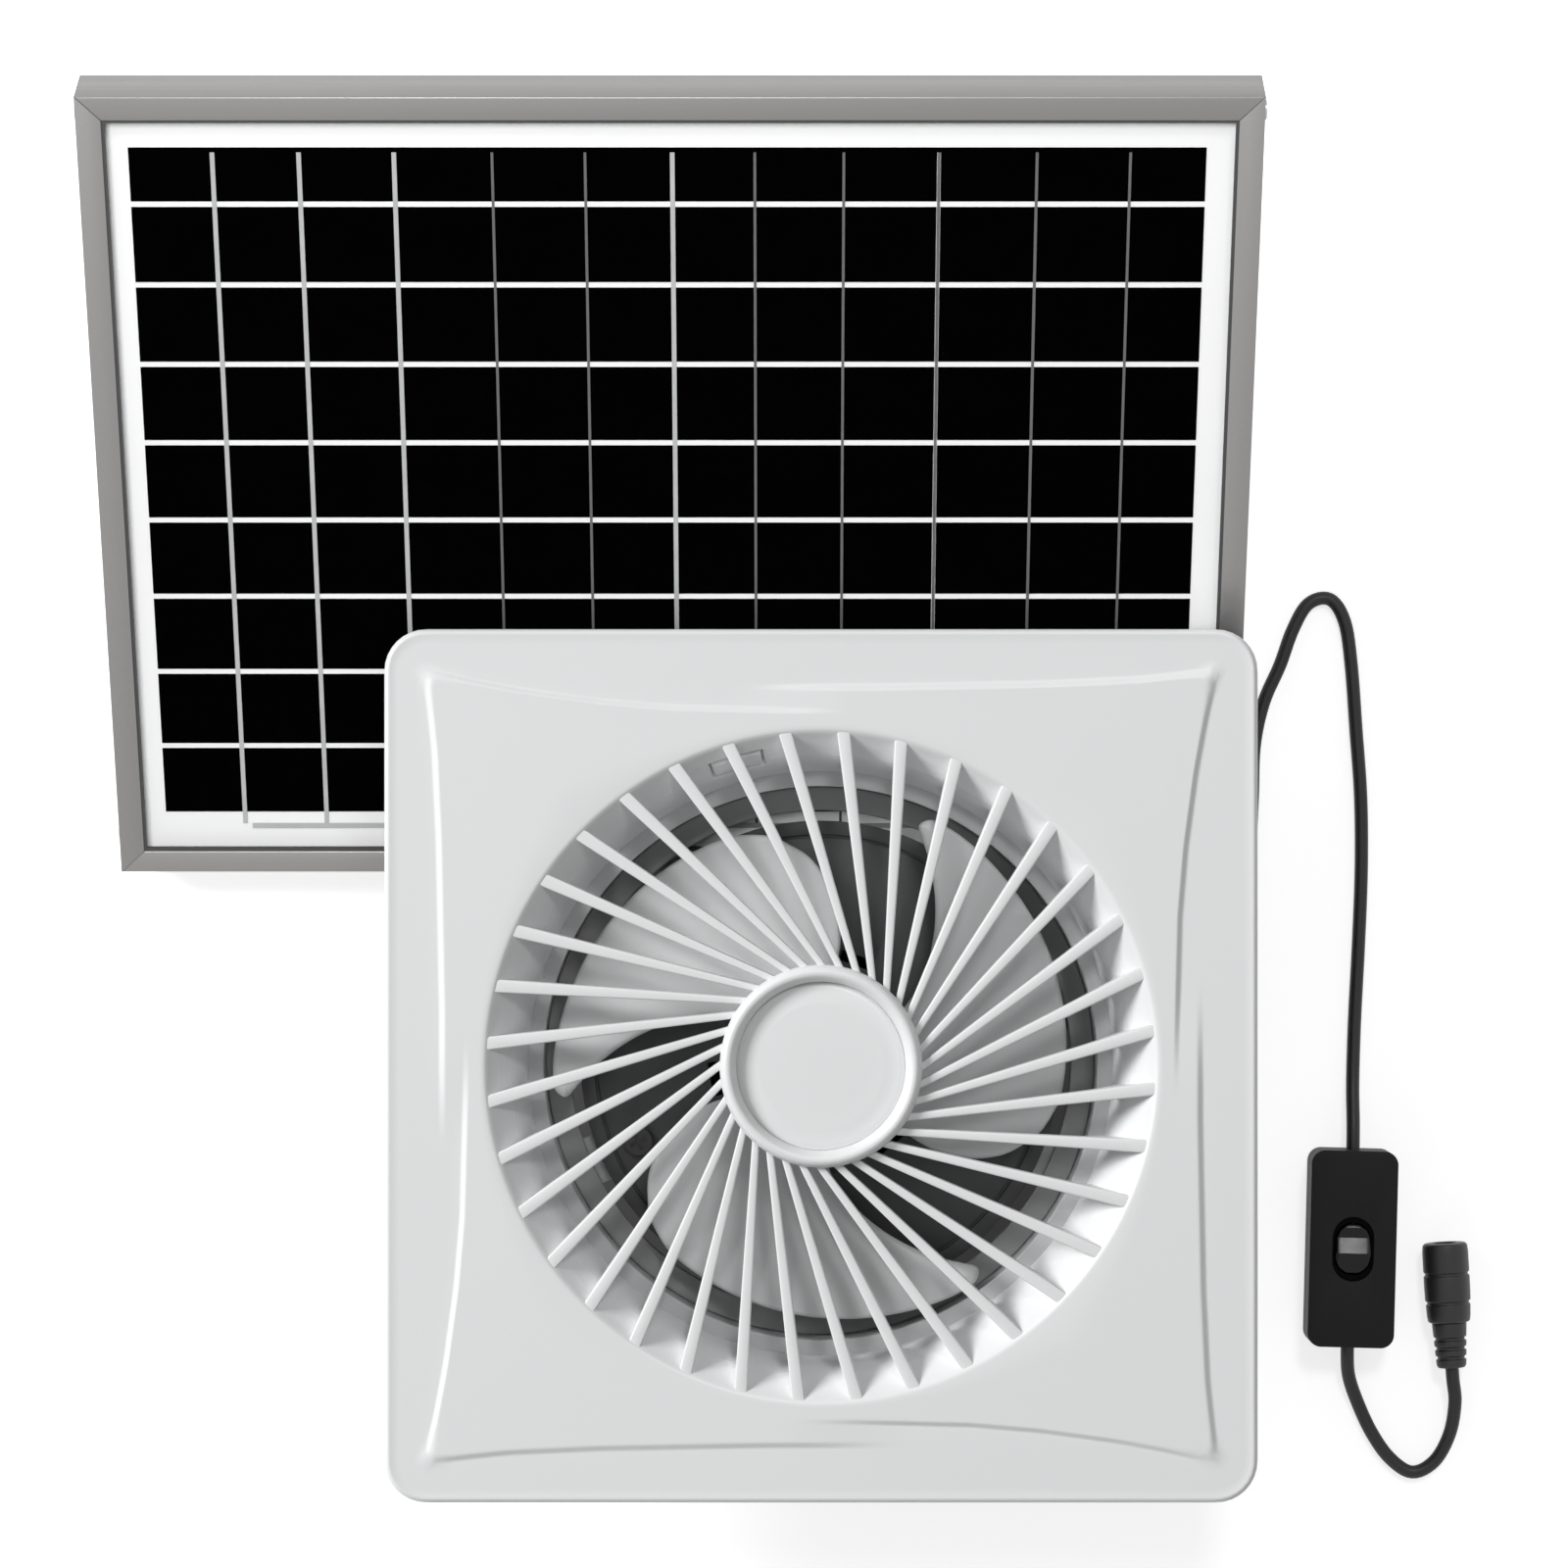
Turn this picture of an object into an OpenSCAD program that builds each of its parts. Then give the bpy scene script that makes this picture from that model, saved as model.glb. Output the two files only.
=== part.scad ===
// Solar attic fan kit: square ducted fan, framed solar panel on a fold-out stay,
// and a lead with an inline switch and a DC socket. Millimetres.
// Origin: centre of the fan's rear foot on the table. +Z is the fan's axis, face up.

/* [Fan] */
// outside width of the square face
plate_w = 250; // [210:1:300]
// corner radius of the face
plate_r = 12; // [4:1:24]
// height of the face over the foot
face_z = 68; // [62:0.5:84]
// radius of the grille's opening at the face
open_r = 95.8; // [86:0.1:100]
// how much the bell and its step narrow from the opening to the duct's throat
bell_w = 15.8; // [14:0.1:18]
// number of grille ribs
rib_n = 36; // [24:1:40]
// distance from the axis to each rib's line
rib_off = 17.4; // [8:0.1:22]
// outer radius of the hub ring
hub_r = 29; // [26:0.5:34]
// tilt of the impeller's blades
blade_tilt = 10.5; // [6:0.5:12]
// thickness of the impeller's blades
blade_t = 2.4; // [1.8:0.1:3]
// radius of the motor shaft
shaft_r = 2.5; // [2:0.1:3]
// outer radius of the motor pod
pod_r = 46; // [40:0.5:48]
// distance from the plate's edge to the flange's fixing holes
fix_edge = 17; // [14:0.5:24]

/* [Panel] */
// width of the panel
panel_w = 328; // [300:1:400]
// length of the panel, up its slope
panel_h = 244; // [200:1:300]
// depth of the panel's frame
frame_d = 17; // [17:0.5:30]
// width of the frame's front lip
lip_w = 7; // [5:0.5:10]
// tilt of the panel
tilt = 28.3; // [20:0.1:30]
// columns of cells
cell_cols = 4; // [2:1:6]
// width of the field of cells
cells_w = 299; // [240:1:300]

/* [Lead] */
// diameter of the lead
lead_d = 4; // [3:0.1:5]
// width of the inline switch
switch_w = 25.5; // [22:0.5:30]
// length of the inline switch
switch_l = 58; // [50:1:70]
// radius of the lead's socket
socket_r = 6.8; // [6:0.1:6.9]

/* [Hidden] */
$fn = 64;

plastic = [0.86, 0.87, 0.87];
duct_c = [0.72, 0.73, 0.73];
dark = [0.22, 0.23, 0.24];
black = [0.04, 0.04, 0.045];
steel = [0.62, 0.63, 0.65];
alu = [0.6, 0.61, 0.62];
brass = [0.75, 0.6, 0.3];
white = [0.9, 0.91, 0.92];

run = 0.05;                         // radial clearance of a running fit
disc_z = 30;                        // underside of the rear plate
disc_t = 3;
throat_r = open_r - bell_w;
disc_r = throat_r - 10;
lip_r = disc_r + 3;                 // inner edge of the throat's lip, round the disc
fix_pitch = plate_w - 2 * fix_edge;
web_z = face_z - 19;                // top of the step at the duct's throat
arm_a = [24, 156, 204, 336];        // directions of the four arms
arm_r = (pod_r + disc_r) / 2;       // radius of the arms' screws
boss_r = pod_r - 8;                 // radius of the pod's screws
can_r = 22.5;
gland_y = 10;
gland_z = 14;
gland_x = pod_r - 1;
lead_x = 64;                        // where the lead leaves the gland
px = -42;                           // panel's middle
py = plate_w / 2 - 70.3;            // panel's lower front edge
pz = frame_d * cos(tilt);
piv_s = 175;                        // stay's pivot, up the slope and behind the front
piv_n = -11.15;
foot_r = 4.5;
leg_l = (pz + piv_s * sin(tilt) + piv_n * cos(tilt) - foot_r) / cos(tilt);
stay_x = panel_w / 2 - 17;
g1 = -1.5;                          // layers of the laminate, from the front
g2 = -4.5;
g3 = -4.7;
g4 = -5;
g5 = -5.6;
g6 = -6.8;
row_end = 19;
row_mid = 24.4;
row_gap = 1.5;
col_gap = 1.1;
cell_s0 = 20.7;
sw_pos = [157.2, -56.5, 0];
sw_a = -1.5;
sw_h = 16;
rk_z = 13.6;                        // rocker's axis
so_pos = [187.3, -92.2, 6.9];
so_a = 3.26;

// ---- shared shapes ----
module rrect(w, l, r) {
  square([w - 2 * r, l], center = true);
  square([w, l - 2 * r], center = true);
  for (x = [-1, 1], y = [-1, 1]) translate([x * (w / 2 - r), y * (l / 2 - r)]) circle(r);
}
module tube(r0, r1, z0, z1) {
  translate([0, 0, z0]) difference() {
    cylinder(r = r1, h = z1 - z0);
    translate([0, 0, -1]) cylinder(r = r0, h = z1 - z0 + 2);
  }
}
module rod(r, z0, z1) { translate([0, 0, z0]) cylinder(r = r, h = z1 - z0); }
module rodx(r, x0, x1) { translate([x0, 0, 0]) rotate([0, 90, 0]) cylinder(r = r, h = x1 - x0); }
module on_panel() { translate([px, py, pz]) rotate([tilt, 0, 0]) children(); }
module on_switch() { translate(sw_pos) rotate([0, 0, sw_a]) children(); }
module on_socket() { translate(so_pos) rotate([0, 0, so_a]) rotate([-90, 0, 0]) children(); }

// ---- lead, swept along its route ----
main_route = [[62, 10, 14], [67, 10, 14], [75, 10, 12.4], [83, 10.2, 8.6], [91, 11.5, 4.6],
  [99, 14.5, 2.3], [107, 19.5, 2], [114.5, 26.5, 2], [120.5, 35.5, 2], [125, 47, 2],
  [127.6, 60, 2], [128.6, 76, 2], [129.2, 92, 2], [132, 105, 2], [136.8, 116, 2],
  [140.6, 126.5, 2], [145.2, 134.2, 2], [151.6, 135.6, 2], [156, 129, 2], [158, 116, 2],
  [159.4, 97, 2], [160.8, 77, 2], [161, 56, 2], [160.2, 34, 2], [159, 11, 2],
  [158.3, -8, 3.4], [158.1, -20, 7], [157.9, -30, 8]];
tail_route = [[156.5, -83, 8], [156.3, -88, 7.4], [157, -95, 4.6], [159.8, -103, 2.3],
  [164, -112, 2], [169.4, -119.6, 2], [176, -123.8, 2], [182.6, -120.6, 2.2],
  [187, -112.4, 3.6], [188.4, -103, 5.8], [187.7, -96, 6.8], [187.2, -90, 6.9]];
function unit(v) = v / norm(v);
function pick(p, i) = p[max(0, min(len(p) - 1, i))];
function spline(a, b, c, d, t) = 0.5 * (2 * b + (c - a) * t + (2 * a - 5 * b + 4 * c - d) * t * t
  + (3 * b - a - 3 * c + d) * t * t * t);
function smooth2(p) = [for (i = [0 : len(p) - 2], t = [0, 0.5])
  spline(pick(p, i - 1), p[i], p[i + 1], pick(p, i + 2), t), p[len(p) - 1]];
function heading(p, i) = unit(pick(p, i + 1) - pick(p, i - 1));
function ring(p, i, r, n) = let (t = heading(p, i), s = unit(cross([0, 0, 1], t)), u = cross(t, s))
  [for (k = [0 : n - 1]) p[i] + r * (cos(360 * k / n) * s + sin(360 * k / n) * u)];
module sweep(route, r, n = 10) {
  p = smooth2(route);
  m = len(p);
  pts = [for (i = [0 : m - 1]) each ring(p, i, r, n)];
  sides = [for (i = [0 : m - 2], k = [0 : n - 1])
    [i * n + k, (i + 1) * n + k, (i + 1) * n + (k + 1) % n, i * n + (k + 1) % n]];
  polyhedron(concat(pts), concat(sides, [[for (k = [0 : n - 1]) k],
    [for (k = [n - 1 : -1 : 0]) (m - 1) * n + k]]), convexity = 8);
}

// ---- fan: fixed parts ----
module base_flange() color(duct_c) difference() {
  translate([0, 0, face_z - 11]) linear_extrude(3) rrect(plate_w - 10, plate_w - 10, 8);
  rod(open_r - 0.8, 50, face_z);
  for (x = [-1, 1], y = [-1, 1]) translate([x * fix_pitch / 2, y * fix_pitch / 2, 50])
    cylinder(r = 2.25, h = 20);
}
module base_collar() color(duct_c) difference() {
  rod(open_r + 2.2, web_z - 7, face_z - 11);
  rod(open_r - 0.8, web_z, face_z);
  rod(open_r - 0.8, web_z - 8, web_z - 3);
  rod(throat_r, web_z - 8, web_z + 1);
}
module base_throat() color(duct_c) {
  tube(throat_r, throat_r + 3, disc_z, web_z - 3);
  tube(lip_r, throat_r + 1, disc_z, disc_z + disc_t);
}
module base_arms() color(duct_c) for (a = arm_a) rotate([0, 0, a]) difference() {
  translate([pod_r + 2, -7, 24]) cube([throat_r + 2.4 - pod_r - 2, 14, disc_z - 24]);
  translate([arm_r, 0, 20]) cylinder(r = 1.6, h = 20);
}
module rear_plate() color(dark) difference() {
  rod(disc_r, disc_z, disc_z + disc_t);
  rod(9, disc_z - 1, disc_z + disc_t + 1);
  tube(disc_r - 4.9, disc_r - 4.1, disc_z + disc_t - 0.8, disc_z + disc_t + 1);
  for (a = arm_a) rotate([0, 0, a]) translate([arm_r, 0, 0]) rod(2.2, 20, 40);
  for (a = [45 : 90 : 315]) rotate([0, 0, a]) translate([boss_r, 0, 0]) rod(1.5, 20, 32);
  for (a = [0, 180]) rotate([0, 0, a]) translate([14, 0, 0]) rod(1.6, 20, 40);
  for (a = [70 : 120 : 310]) rotate([0, 0, a]) translate([29.5, -5, 20]) cube([3, 10, 20]);
}
module plate_screws() color(steel) for (a = arm_a) rotate([0, 0, a]) translate([arm_r, 0, 0]) {
  rod(1.6, 25, disc_z + disc_t + 0.5);
  difference() {
    rod(4, disc_z + disc_t, disc_z + disc_t + 2);
    translate([-2.4, -0.5, disc_z + disc_t + 1]) cube([4.8, 1, 2]);
    translate([-0.5, -2.4, disc_z + disc_t + 1]) cube([1, 4.8, 2]);
  }
}
module pod_cover() color(dark) {
  difference() {
    union() {
      tube(pod_r - 2, pod_r, 0, disc_z);
      rod(pod_r - 1, 0, 2.5);
      difference() {
        translate([0, gland_y, gland_z]) rodx(9, 36, pod_r);
        rod(pod_r - 1.9, -1, 40);
      }
      for (a = [45 : 90 : 315]) rotate([0, 0, a]) translate([boss_r, 0, 0]) rod(5, 0, disc_z);
    }
    for (a = [45 : 90 : 315]) rotate([0, 0, a]) translate([boss_r, 0, 0]) {
      rod(3.4, -1, 6);
      rod(1.6, 5, 40);
    }
    for (a = [80 : 10 : 110]) rotate([0, 0, a]) translate([pod_r - 5, -1, 12]) cube([8, 2, 12]);
    for (a = [170 : 10 : 190]) rotate([0, 0, a]) translate([pod_r - 5, -1, 12]) cube([8, 2, 12]);
    translate([0, gland_y, gland_z]) rodx(5, 30, 60);
  }
}
module pod_screws() color(steel) for (a = [45 : 90 : 315]) rotate([0, 0, a]) translate([boss_r, 0, 0]) {
  rod(1.5, 5, 32);
  rod(3.2, 3, 6);
}
module motor_can() color(steel) {
  tube(can_r - 1.5, can_r, 6, disc_z);
  difference() {
    rod(can_r - 1, disc_z - 2, disc_z);
    rod(4.5, 20, 40);
    for (a = [0, 180]) rotate([0, 0, a]) translate([14, 0, 0]) rod(1.5, 20, 40);
  }
}
module motor_end_bell() color(dark) {
  rod(can_r, 4, 6);
  tube(4.5, 7, 5.5, 11);
}
module motor_stator() color(brass) difference() {
  rod(can_r - 1.5, 12, 25.5);
  rod(15, 11, 27);
  for (a = [0 : 40 : 320]) rotate([0, 0, a]) translate([15.8, -1, 11]) cube([3.6, 2, 16]);
}
module motor_bushes() color(brass) {
  tube(shaft_r + run, 4.5, 6, 11);
  tube(shaft_r + run, 4.5, 27, 31);
}
module motor_screws() color(steel) for (a = [0, 180]) rotate([0, 0, a]) translate([14, 0, 0]) {
  rod(1.5, disc_z - 2, disc_z + disc_t + 0.5);
  rod(2.8, disc_z + disc_t, disc_z + disc_t + 1.6);
}
module driver_board() color([0.1, 0.35, 0.2]) {
  x = can_r + 1.5;
  translate([x, -9, 24]) cube([pod_r - 4.6 - x, 21, 1.6]);
  for (y = [-7, 7]) translate([pod_r - 6.7, y, 0]) rod(1.6, 25, disc_z);
  translate([x + 4, -4.4, 0]) rod(3.5, 16, 24.2);
  translate([x + 1, 1.5, 22]) cube([5, 5, 2.2]);
}
module motor_leads() color(black) {
  for (y = [gland_y - 1, gland_y + 1]) translate([gland_x - 13, y, 0]) {
    rod(0.8, gland_z - 0.8, 24);
    translate([0, 0, gland_z]) rodx(0.8, 0, 6);
  }
  translate([0, gland_y, gland_z]) rodx(2, gland_x - 7.5, gland_x - 4);
}
module gland() color(black) translate([0, gland_y, gland_z]) {
  rodx(5, gland_x - 6, lead_x - 14);
  translate([pod_r, 0, 0]) rotate([0, 90, 0]) cylinder(r = 8, h = 4, $fn = 6);
  rodx(6.6, lead_x - 14.5, lead_x - 5);
  translate([lead_x - 5, 0, 0]) rotate([0, 90, 0]) cylinder(r1 = 6.6, r2 = 3.6, h = 5);
}
module gland_nut() color(black) translate([gland_x - 9.4, gland_y, gland_z]) rotate([0, 90, 0])
  difference() {
    cylinder(r = 7.5, h = 3.6, $fn = 6);
    translate([0, 0, 1]) cylinder(r = 5, h = 4);
    translate([0, 0, -1]) cylinder(r = 3, h = 4);
  }

// ---- fan: front cover ----
// one side of the raised field: from its corner along the inner line, a step out, then
// along the outer line to the next corner
field = [[-112.5, 112.5], [-107.5, 96], [-103.5, 72], [-101.4, 44], [-101, 16], [-102.5, -10],
  [-107, -13], [-106.5, -40], [-108, -70], [-110.5, -96]];
function turn(p, a) = [p[0] * cos(a) - p[1] * sin(a), p[0] * sin(a) + p[1] * cos(a)];
module cover_plate() color(plastic) {
  k = plate_w / 250;
  difference() {
    union() {
      translate([0, 0, face_z - 3]) linear_extrude(2.2) rrect(plate_w, plate_w, plate_r);
      translate([0, 0, face_z - 10]) linear_extrude(8) difference() {
        rrect(plate_w, plate_w, plate_r);
        rrect(plate_w - 4, plate_w - 4, plate_r - 2);
      }
      translate([0, 0, face_z - 1]) linear_extrude(1)
        polygon([for (a = [0 : 90 : 270]) each [for (p = field) k * turn(p, a)]]);
      for (x = [-1, 1], y = [-1, 1]) translate([x * 60, y * (plate_w / 2 - 12), 0])
        rod(4, face_z - 8, face_z - 2);
    }
    rod(open_r - 0.4, face_z - 20, face_z + 5);
  }
  rotate_extrude() translate([open_r - 95.8, face_z - 68]) polygon([[95.8, 68], [93.4, 66.4],
    [89.9, 61.2], [87, 56], [84.9, 50.6], [84.5, 49], [86.5, 49], [88.9, 55], [91.6, 60.4],
    [97.6, 61], [97.6, 68]]);
}
module cover_grille() color(plastic) {
  for (i = [0 : rib_n - 1]) rotate([0, 0, 6.6 + i * 360 / rib_n]) translate([rib_off, 0, face_z - 6])
    linear_extrude(5.6) polygon([[-1, 21.5], [1, 21.5], [1.9, open_r - 1.1], [-1.9, open_r - 1.1]]);
  rotate_extrude() translate([0, face_z - 68]) polygon([[hub_r - 5, 61.5], [hub_r - 1, 61.5],
    [hub_r, 62.5], [hub_r, 69], [hub_r - 1, 70.4], [hub_r - 2.4, 71], [hub_r - 3.8, 70.4],
    [hub_r - 4.6, 69], [hub_r - 4.8, 66], [hub_r - 5, 65.6]]);
}
module hub_disc() color(plastic) rod(hub_r - 5, face_z - 4.5, face_z - 0.5);

// ---- fan: rotor ----
module impeller() color(plastic) {
  difference() {
    union() {
      rod(25, 37, 57);
    }
    tube(8, 23, 35, 54);
    rod(shaft_r, 30, 60);
  }
  k = throat_r / 80;
  for (a = [0, 120, 240]) rotate([0, 0, a]) difference() {
    intersection() {
      translate([0, 0, 30]) linear_extrude(32) polygon(k * [[27.5, 20.4], [32, 32], [33.4, 44],
        [31.5, 57.4], [28.6, 66], [26.2, 70.4], [28, 71.6], [31, 70.2], [37.3, 66.5], [49.6, 55.8],
        [61.9, 40.1], [69.5, 20.4], [71.4, 3.9], [69.7, -10.9], [64.4, -19.9], [53.8, -26.9],
        [45.5, -28.2], [33, -25.8], [24, -20.5], [16, -12], [16, 8]]);
      translate([0, 0, 46]) rotate([0, 0, 26]) rotate([blade_tilt, 0, 0])
        translate([0, -90, -blade_t / 2]) cube([90, 180, blade_t]);
    }
    rod(24, 30, 62);
  }
}
module shaft() color(steel) rod(shaft_r, 6.3, face_z - 7.5);
module rotor_magnet() color(dark) tube(shaft_r, 14.4, 12, 25);
module impeller_nut() color(steel) difference() {
  translate([0, 0, 57]) cylinder(r = 5, h = 3, $fn = 6);
  rod(shaft_r, 50, 62);
}
module shaft_collar() color(steel) tube(shaft_r, 5, 33.5, 37);

// ---- panel: frame ----
module bar(l) for (b = [[lip_w, g1, 0], [1.5, -frame_d, 0], [lip_w, g6, g5],
    [12, -frame_d, 1.5 - frame_d]])
  translate([0, 0, b[1]]) linear_extrude(b[2] - b[1])
    polygon([[-l / 2, 0], [l / 2, 0], [l / 2 - b[0], b[0]], [-l / 2 + b[0], b[0]]]);
module side_bar(m) mirror([m, 0, 0]) difference() {
  translate([panel_w / 2, panel_h / 2, 0]) rotate([0, 0, 90]) bar(panel_h);
  translate([0, piv_s, piv_n]) rodx(3 + run, panel_w / 2 - 5, panel_w / 2 + 5);
  for (s = [8, panel_h - 8]) translate([0, s, -11]) rodx(1.6, panel_w / 2 - 5, panel_w / 2 + 5);
  for (s = [40, panel_h - 40]) translate([panel_w / 2 - 7, s, -frame_d - 1]) cylinder(r = 3.5, h = 4);
}
module frame_bottom() color(alu) on_panel() bar(panel_w);
module frame_top() color(alu) on_panel() translate([0, panel_h, 0]) rotate([0, 0, 180]) bar(panel_w);
module frame_left() color(alu) on_panel() side_bar(1);
module frame_right() color(alu) on_panel() side_bar(0);
module corner_keys() color(steel) on_panel() for (m = [0, 1], t = [0, 1])
  translate([0, t * panel_h, 0]) mirror([m, 0, 0]) mirror([0, t, 0]) difference() {
    translate([panel_w / 2 - 24, 1.5, 1.5 - frame_d]) cube([22.5, 8, g6 - 1.5 + frame_d]);
    translate([0, 8, -11]) rodx(1.5, panel_w / 2 - 20, panel_w / 2 + 5);
  }
module frame_screws() color(steel) on_panel() for (m = [0, 1], s = [8, panel_h - 8])
  mirror([m, 0, 0]) translate([0, s, -11]) {
    rodx(1.5, panel_w / 2 - 14, panel_w / 2 + 0.5);
    rodx(2.8, panel_w / 2, panel_w / 2 + 1.2);
  }

// ---- panel: laminate ----
module sheet(n0, n1) translate([-panel_w / 2 + 2.5, 2.5, n0]) cube([panel_w - 5, panel_h - 5, n1 - n0]);
module glass() color([0.6, 0.7, 0.75, 0.35]) on_panel() sheet(g2, g1);
module backsheet() color(white) on_panel() sheet(g5, g4);
module edge_seal() color(black) on_panel() difference() {
  translate([1.5 - panel_w / 2, 1.5, g5]) cube([panel_w - 3, panel_h - 3, g1 - g5]);
  sheet(g5 - 1, g1 + 1);
}
col_w = cells_w / cell_cols;
rows_h = panel_h - 35.4;            // the field's length up the slope
row_k = (rows_h - 2 * row_end) / row_mid;
row_n = round(row_k);               // rows of full cells, between two part rows
row_p = (rows_h - 2 * row_end) / row_n;
module cells() color(black) on_panel() for (c = [0 : cell_cols - 1], r = [0 : row_n + 1]) {
  x0 = -cells_w / 2 + c * col_w + col_gap / 2;
  s0 = r == 0 ? cell_s0 : cell_s0 + row_end + (r - 1) * row_p + row_gap / 2;
  s1 = r == row_n + 1 ? cell_s0 + rows_h : cell_s0 + row_end + r * row_p - row_gap / 2;
  translate([x0, s0, g4]) cube([col_w - col_gap, s1 - s0, g3 - g4]);
}
module ribbons() color(alu) on_panel() for (c = [0 : cell_cols - 1], f = [1, 2])
  translate([-cells_w / 2 + (c + f / 3) * col_w - 0.55, 14, g3])
    cube([1.1, cell_s0 + rows_h - 1.5 - 14, g2 - g3]);
module bus_ribbon() color(alu) on_panel() translate([-cells_w / 2 + col_w / 3 - 0.55, 12.4, g3])
  cube([cells_w - 2 * col_w / 3 + 1.1, 1.6, g2 - g3]);

// ---- panel: junction box ----
box_s = panel_h - 31;               // box's middle, up the slope
module on_box() on_panel() translate([0, box_s, 0]) children();
module box_base() color(black) on_box() difference() {
  translate([0, 0, -14]) linear_extrude(14 + g5) rrect(70, 34, 3);
  translate([0, 0, -15]) linear_extrude(13.4 - 5.6) rrect(66, 30, 2);
  translate([-20, -10, -10]) rotate([90, 0, 0]) cylinder(r = 3, h = 10);
}
module box_lid() color(black) on_box() translate([0, 0, -16]) linear_extrude(2) rrect(70, 34, 3);
module box_gland() color(black) on_box() translate([-20, 0, -10]) rotate([90, 0, 0]) {
  translate([0, 0, 17]) cylinder(r = 4.6, h = 3, $fn = 6);
  rod(3, 13, 18);
  rod(3.8, 20, 26);
}
module box_diode() color(dark) on_box() {
  translate([0, 0, -9.8]) rodx(2.6, -5, 5);
  translate([0, 0, -9.8]) rodx(0.6, -16, 16);
}
module box_terminals() color(brass) on_box() for (x = [-20, 15])
  translate([x, -5, -13]) difference() {
    cube([6, 10, 13 - 7.2]);
    translate([-1, 5, 3.2]) rodx(0.6, -2, 9);
  }

// ---- panel: stay ----
module stay_leg(m) mirror([m, 0, 0]) translate([0, piv_s, piv_n]) {
  rodx(5, stay_x - 3, stay_x + 3);
  rodx(3, stay_x + 2, panel_w / 2);
  translate([stay_x, 0, -leg_l]) cylinder(r = 2.6, h = leg_l);
  translate([0, 0, -leg_l]) rodx(4, stay_x - 3, stay_x + 3);
}
module stay_leg_left() color(steel) on_panel() stay_leg(1);
module stay_leg_right() color(steel) on_panel() stay_leg(0);
module stay_crossbar() color(steel) on_panel() translate([0, piv_s, piv_n - leg_l])
  rodx(3, 3 - stay_x, stay_x - 3);
module stay_feet() color(black) on_panel() for (m = [0, 1]) mirror([m, 0, 0])
  translate([stay_x - 40, piv_s, piv_n - leg_l]) rotate([0, 90, 0]) tube(3, foot_r, 0, 30);
module stay_clips() color(steel) on_panel() for (m = [0, 1]) mirror([m, 0, 0])
  translate([0, piv_s, piv_n]) rotate([0, 90, 0]) tube(3, 4, panel_w / 2 - 2.8, panel_w / 2 - 1.8);

// ---- lead, switch and socket ----
module lead_main() color(black) sweep(main_route, lead_d / 2);
module lead_tail() color(black) sweep(tail_route, lead_d / 2);
module switch_lower() color(black) on_switch() {
  difference() {
    linear_extrude(8) rrect(switch_w, switch_l, 4);
    translate([0, 0, 2]) linear_extrude(8) rrect(switch_w - 4, switch_l - 8, 2);
    for (y = [-1, 1]) translate([0, y * (switch_l / 2 - 7.5), 0]) {
      rod(2.3, -1, 1.6);
      rod(1.2, 0, 4);
    }
  }
  for (y = [-1, 1]) translate([0, y * (switch_l / 2 - 7.5), 0]) tube(1.2, 3, 1.8, 8);
}
module switch_upper() color(black) on_switch() {
  difference() {
    union() {
      difference() {
        translate([0, 0, 8]) linear_extrude(sw_h - 8) rrect(switch_w, switch_l, 4);
        translate([0, 0, 7]) linear_extrude(sw_h - 9) rrect(switch_w - 4, switch_l - 8, 2);
      }
      for (x = [-1, 1]) translate([x * 7.2 - 1.8, -3, 11]) cube([3.6, 6, 4]);
    }
    translate([0, 0, sw_h - 1]) linear_extrude(2) {
      square([12.1, 6.9], center = true);
      for (y = [-1, 1]) translate([0, y * 3.45]) circle(6.05);
    }
    translate([0, 0, 8]) linear_extrude(10) rrect(10.9, 15.6, 5.4);
    translate([0, 0, rk_z]) rodx(1 + run, -8, 8);
  }
  for (y = [-1, 1]) translate([0, y * (switch_l / 2 - 7.5), 0]) tube(1.2, 3, 8, sw_h - 1.8);
}
module switch_screws() color(steel) on_switch() for (y = [-1, 1])
  translate([0, y * (switch_l / 2 - 7.5), 0]) {
    rod(1.2, 1, sw_h - 2.6);
    rod(2.2, 0.4, 1.6);
  }
module switch_contacts() color(brass) on_switch() for (y = [-11, 0, 11])
  translate([-3, y - 0.4, 2]) cube([6, 0.8, 4.4]);
module rocker() color(black) on_switch() translate([0, 0, rk_z]) rotate([-8, 0, 0]) difference() {
  intersection() {
    translate([0, 0, -4]) linear_extrude(10) rrect(10.5, 15, 5.2);
    rodx(7.5, -5.25, 5.25);
    translate([-5.25, 0, 0]) rotate([90, 0, 90]) linear_extrude(10.5)
      polygon([[-8, 0.2], [-3, -2.2], [3, -2.2], [8, 0.2], [8, 3.7], [0, 2.6], [-8, 3.7]]);
  }
  rodx(1, -6, 6);
}
module rocker_pin() color(steel) on_switch() translate([0, 0, rk_z]) rodx(1, -7.8, 7.8);
module socket_relief() color(black) on_socket() rotate_extrude() polygon(concat([[0, 0]],
  [for (i = [0 : 4]) each let (r = 4.5 + i * 0.18) [[r, i * 2.7], [r, i * 2.7 + 1.6],
    [r - 1, i * 2.7 + 1.6], [r - 1, min(13.4, i * 2.7 + 2.7)]]], [[0, 13.4]]));
module socket_body() color(black) on_socket() difference() {
  rotate_extrude() polygon([[0, 13.4], [socket_r - 1, 13.4], [socket_r - 0.4, 14.2],
    [socket_r - 0.4, 17.4], [socket_r - 1, 17.8], [socket_r - 1, 19.4], [socket_r - 0.2, 19.8],
    [socket_r, 28], [socket_r, 33], [socket_r - 0.3, 36.4], [socket_r - 0.9, 36.96], [0, 36.96]]);
  rod(3.4, 24, 40);
}
module socket_barrel() color(steel) on_socket() tube(2.8, 3.4, 24, 36.2);
module socket_pin() color(steel) on_socket() {
  rod(2.8, 24, 26);
  rod(1.05, 25, 34.6);
}

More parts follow.
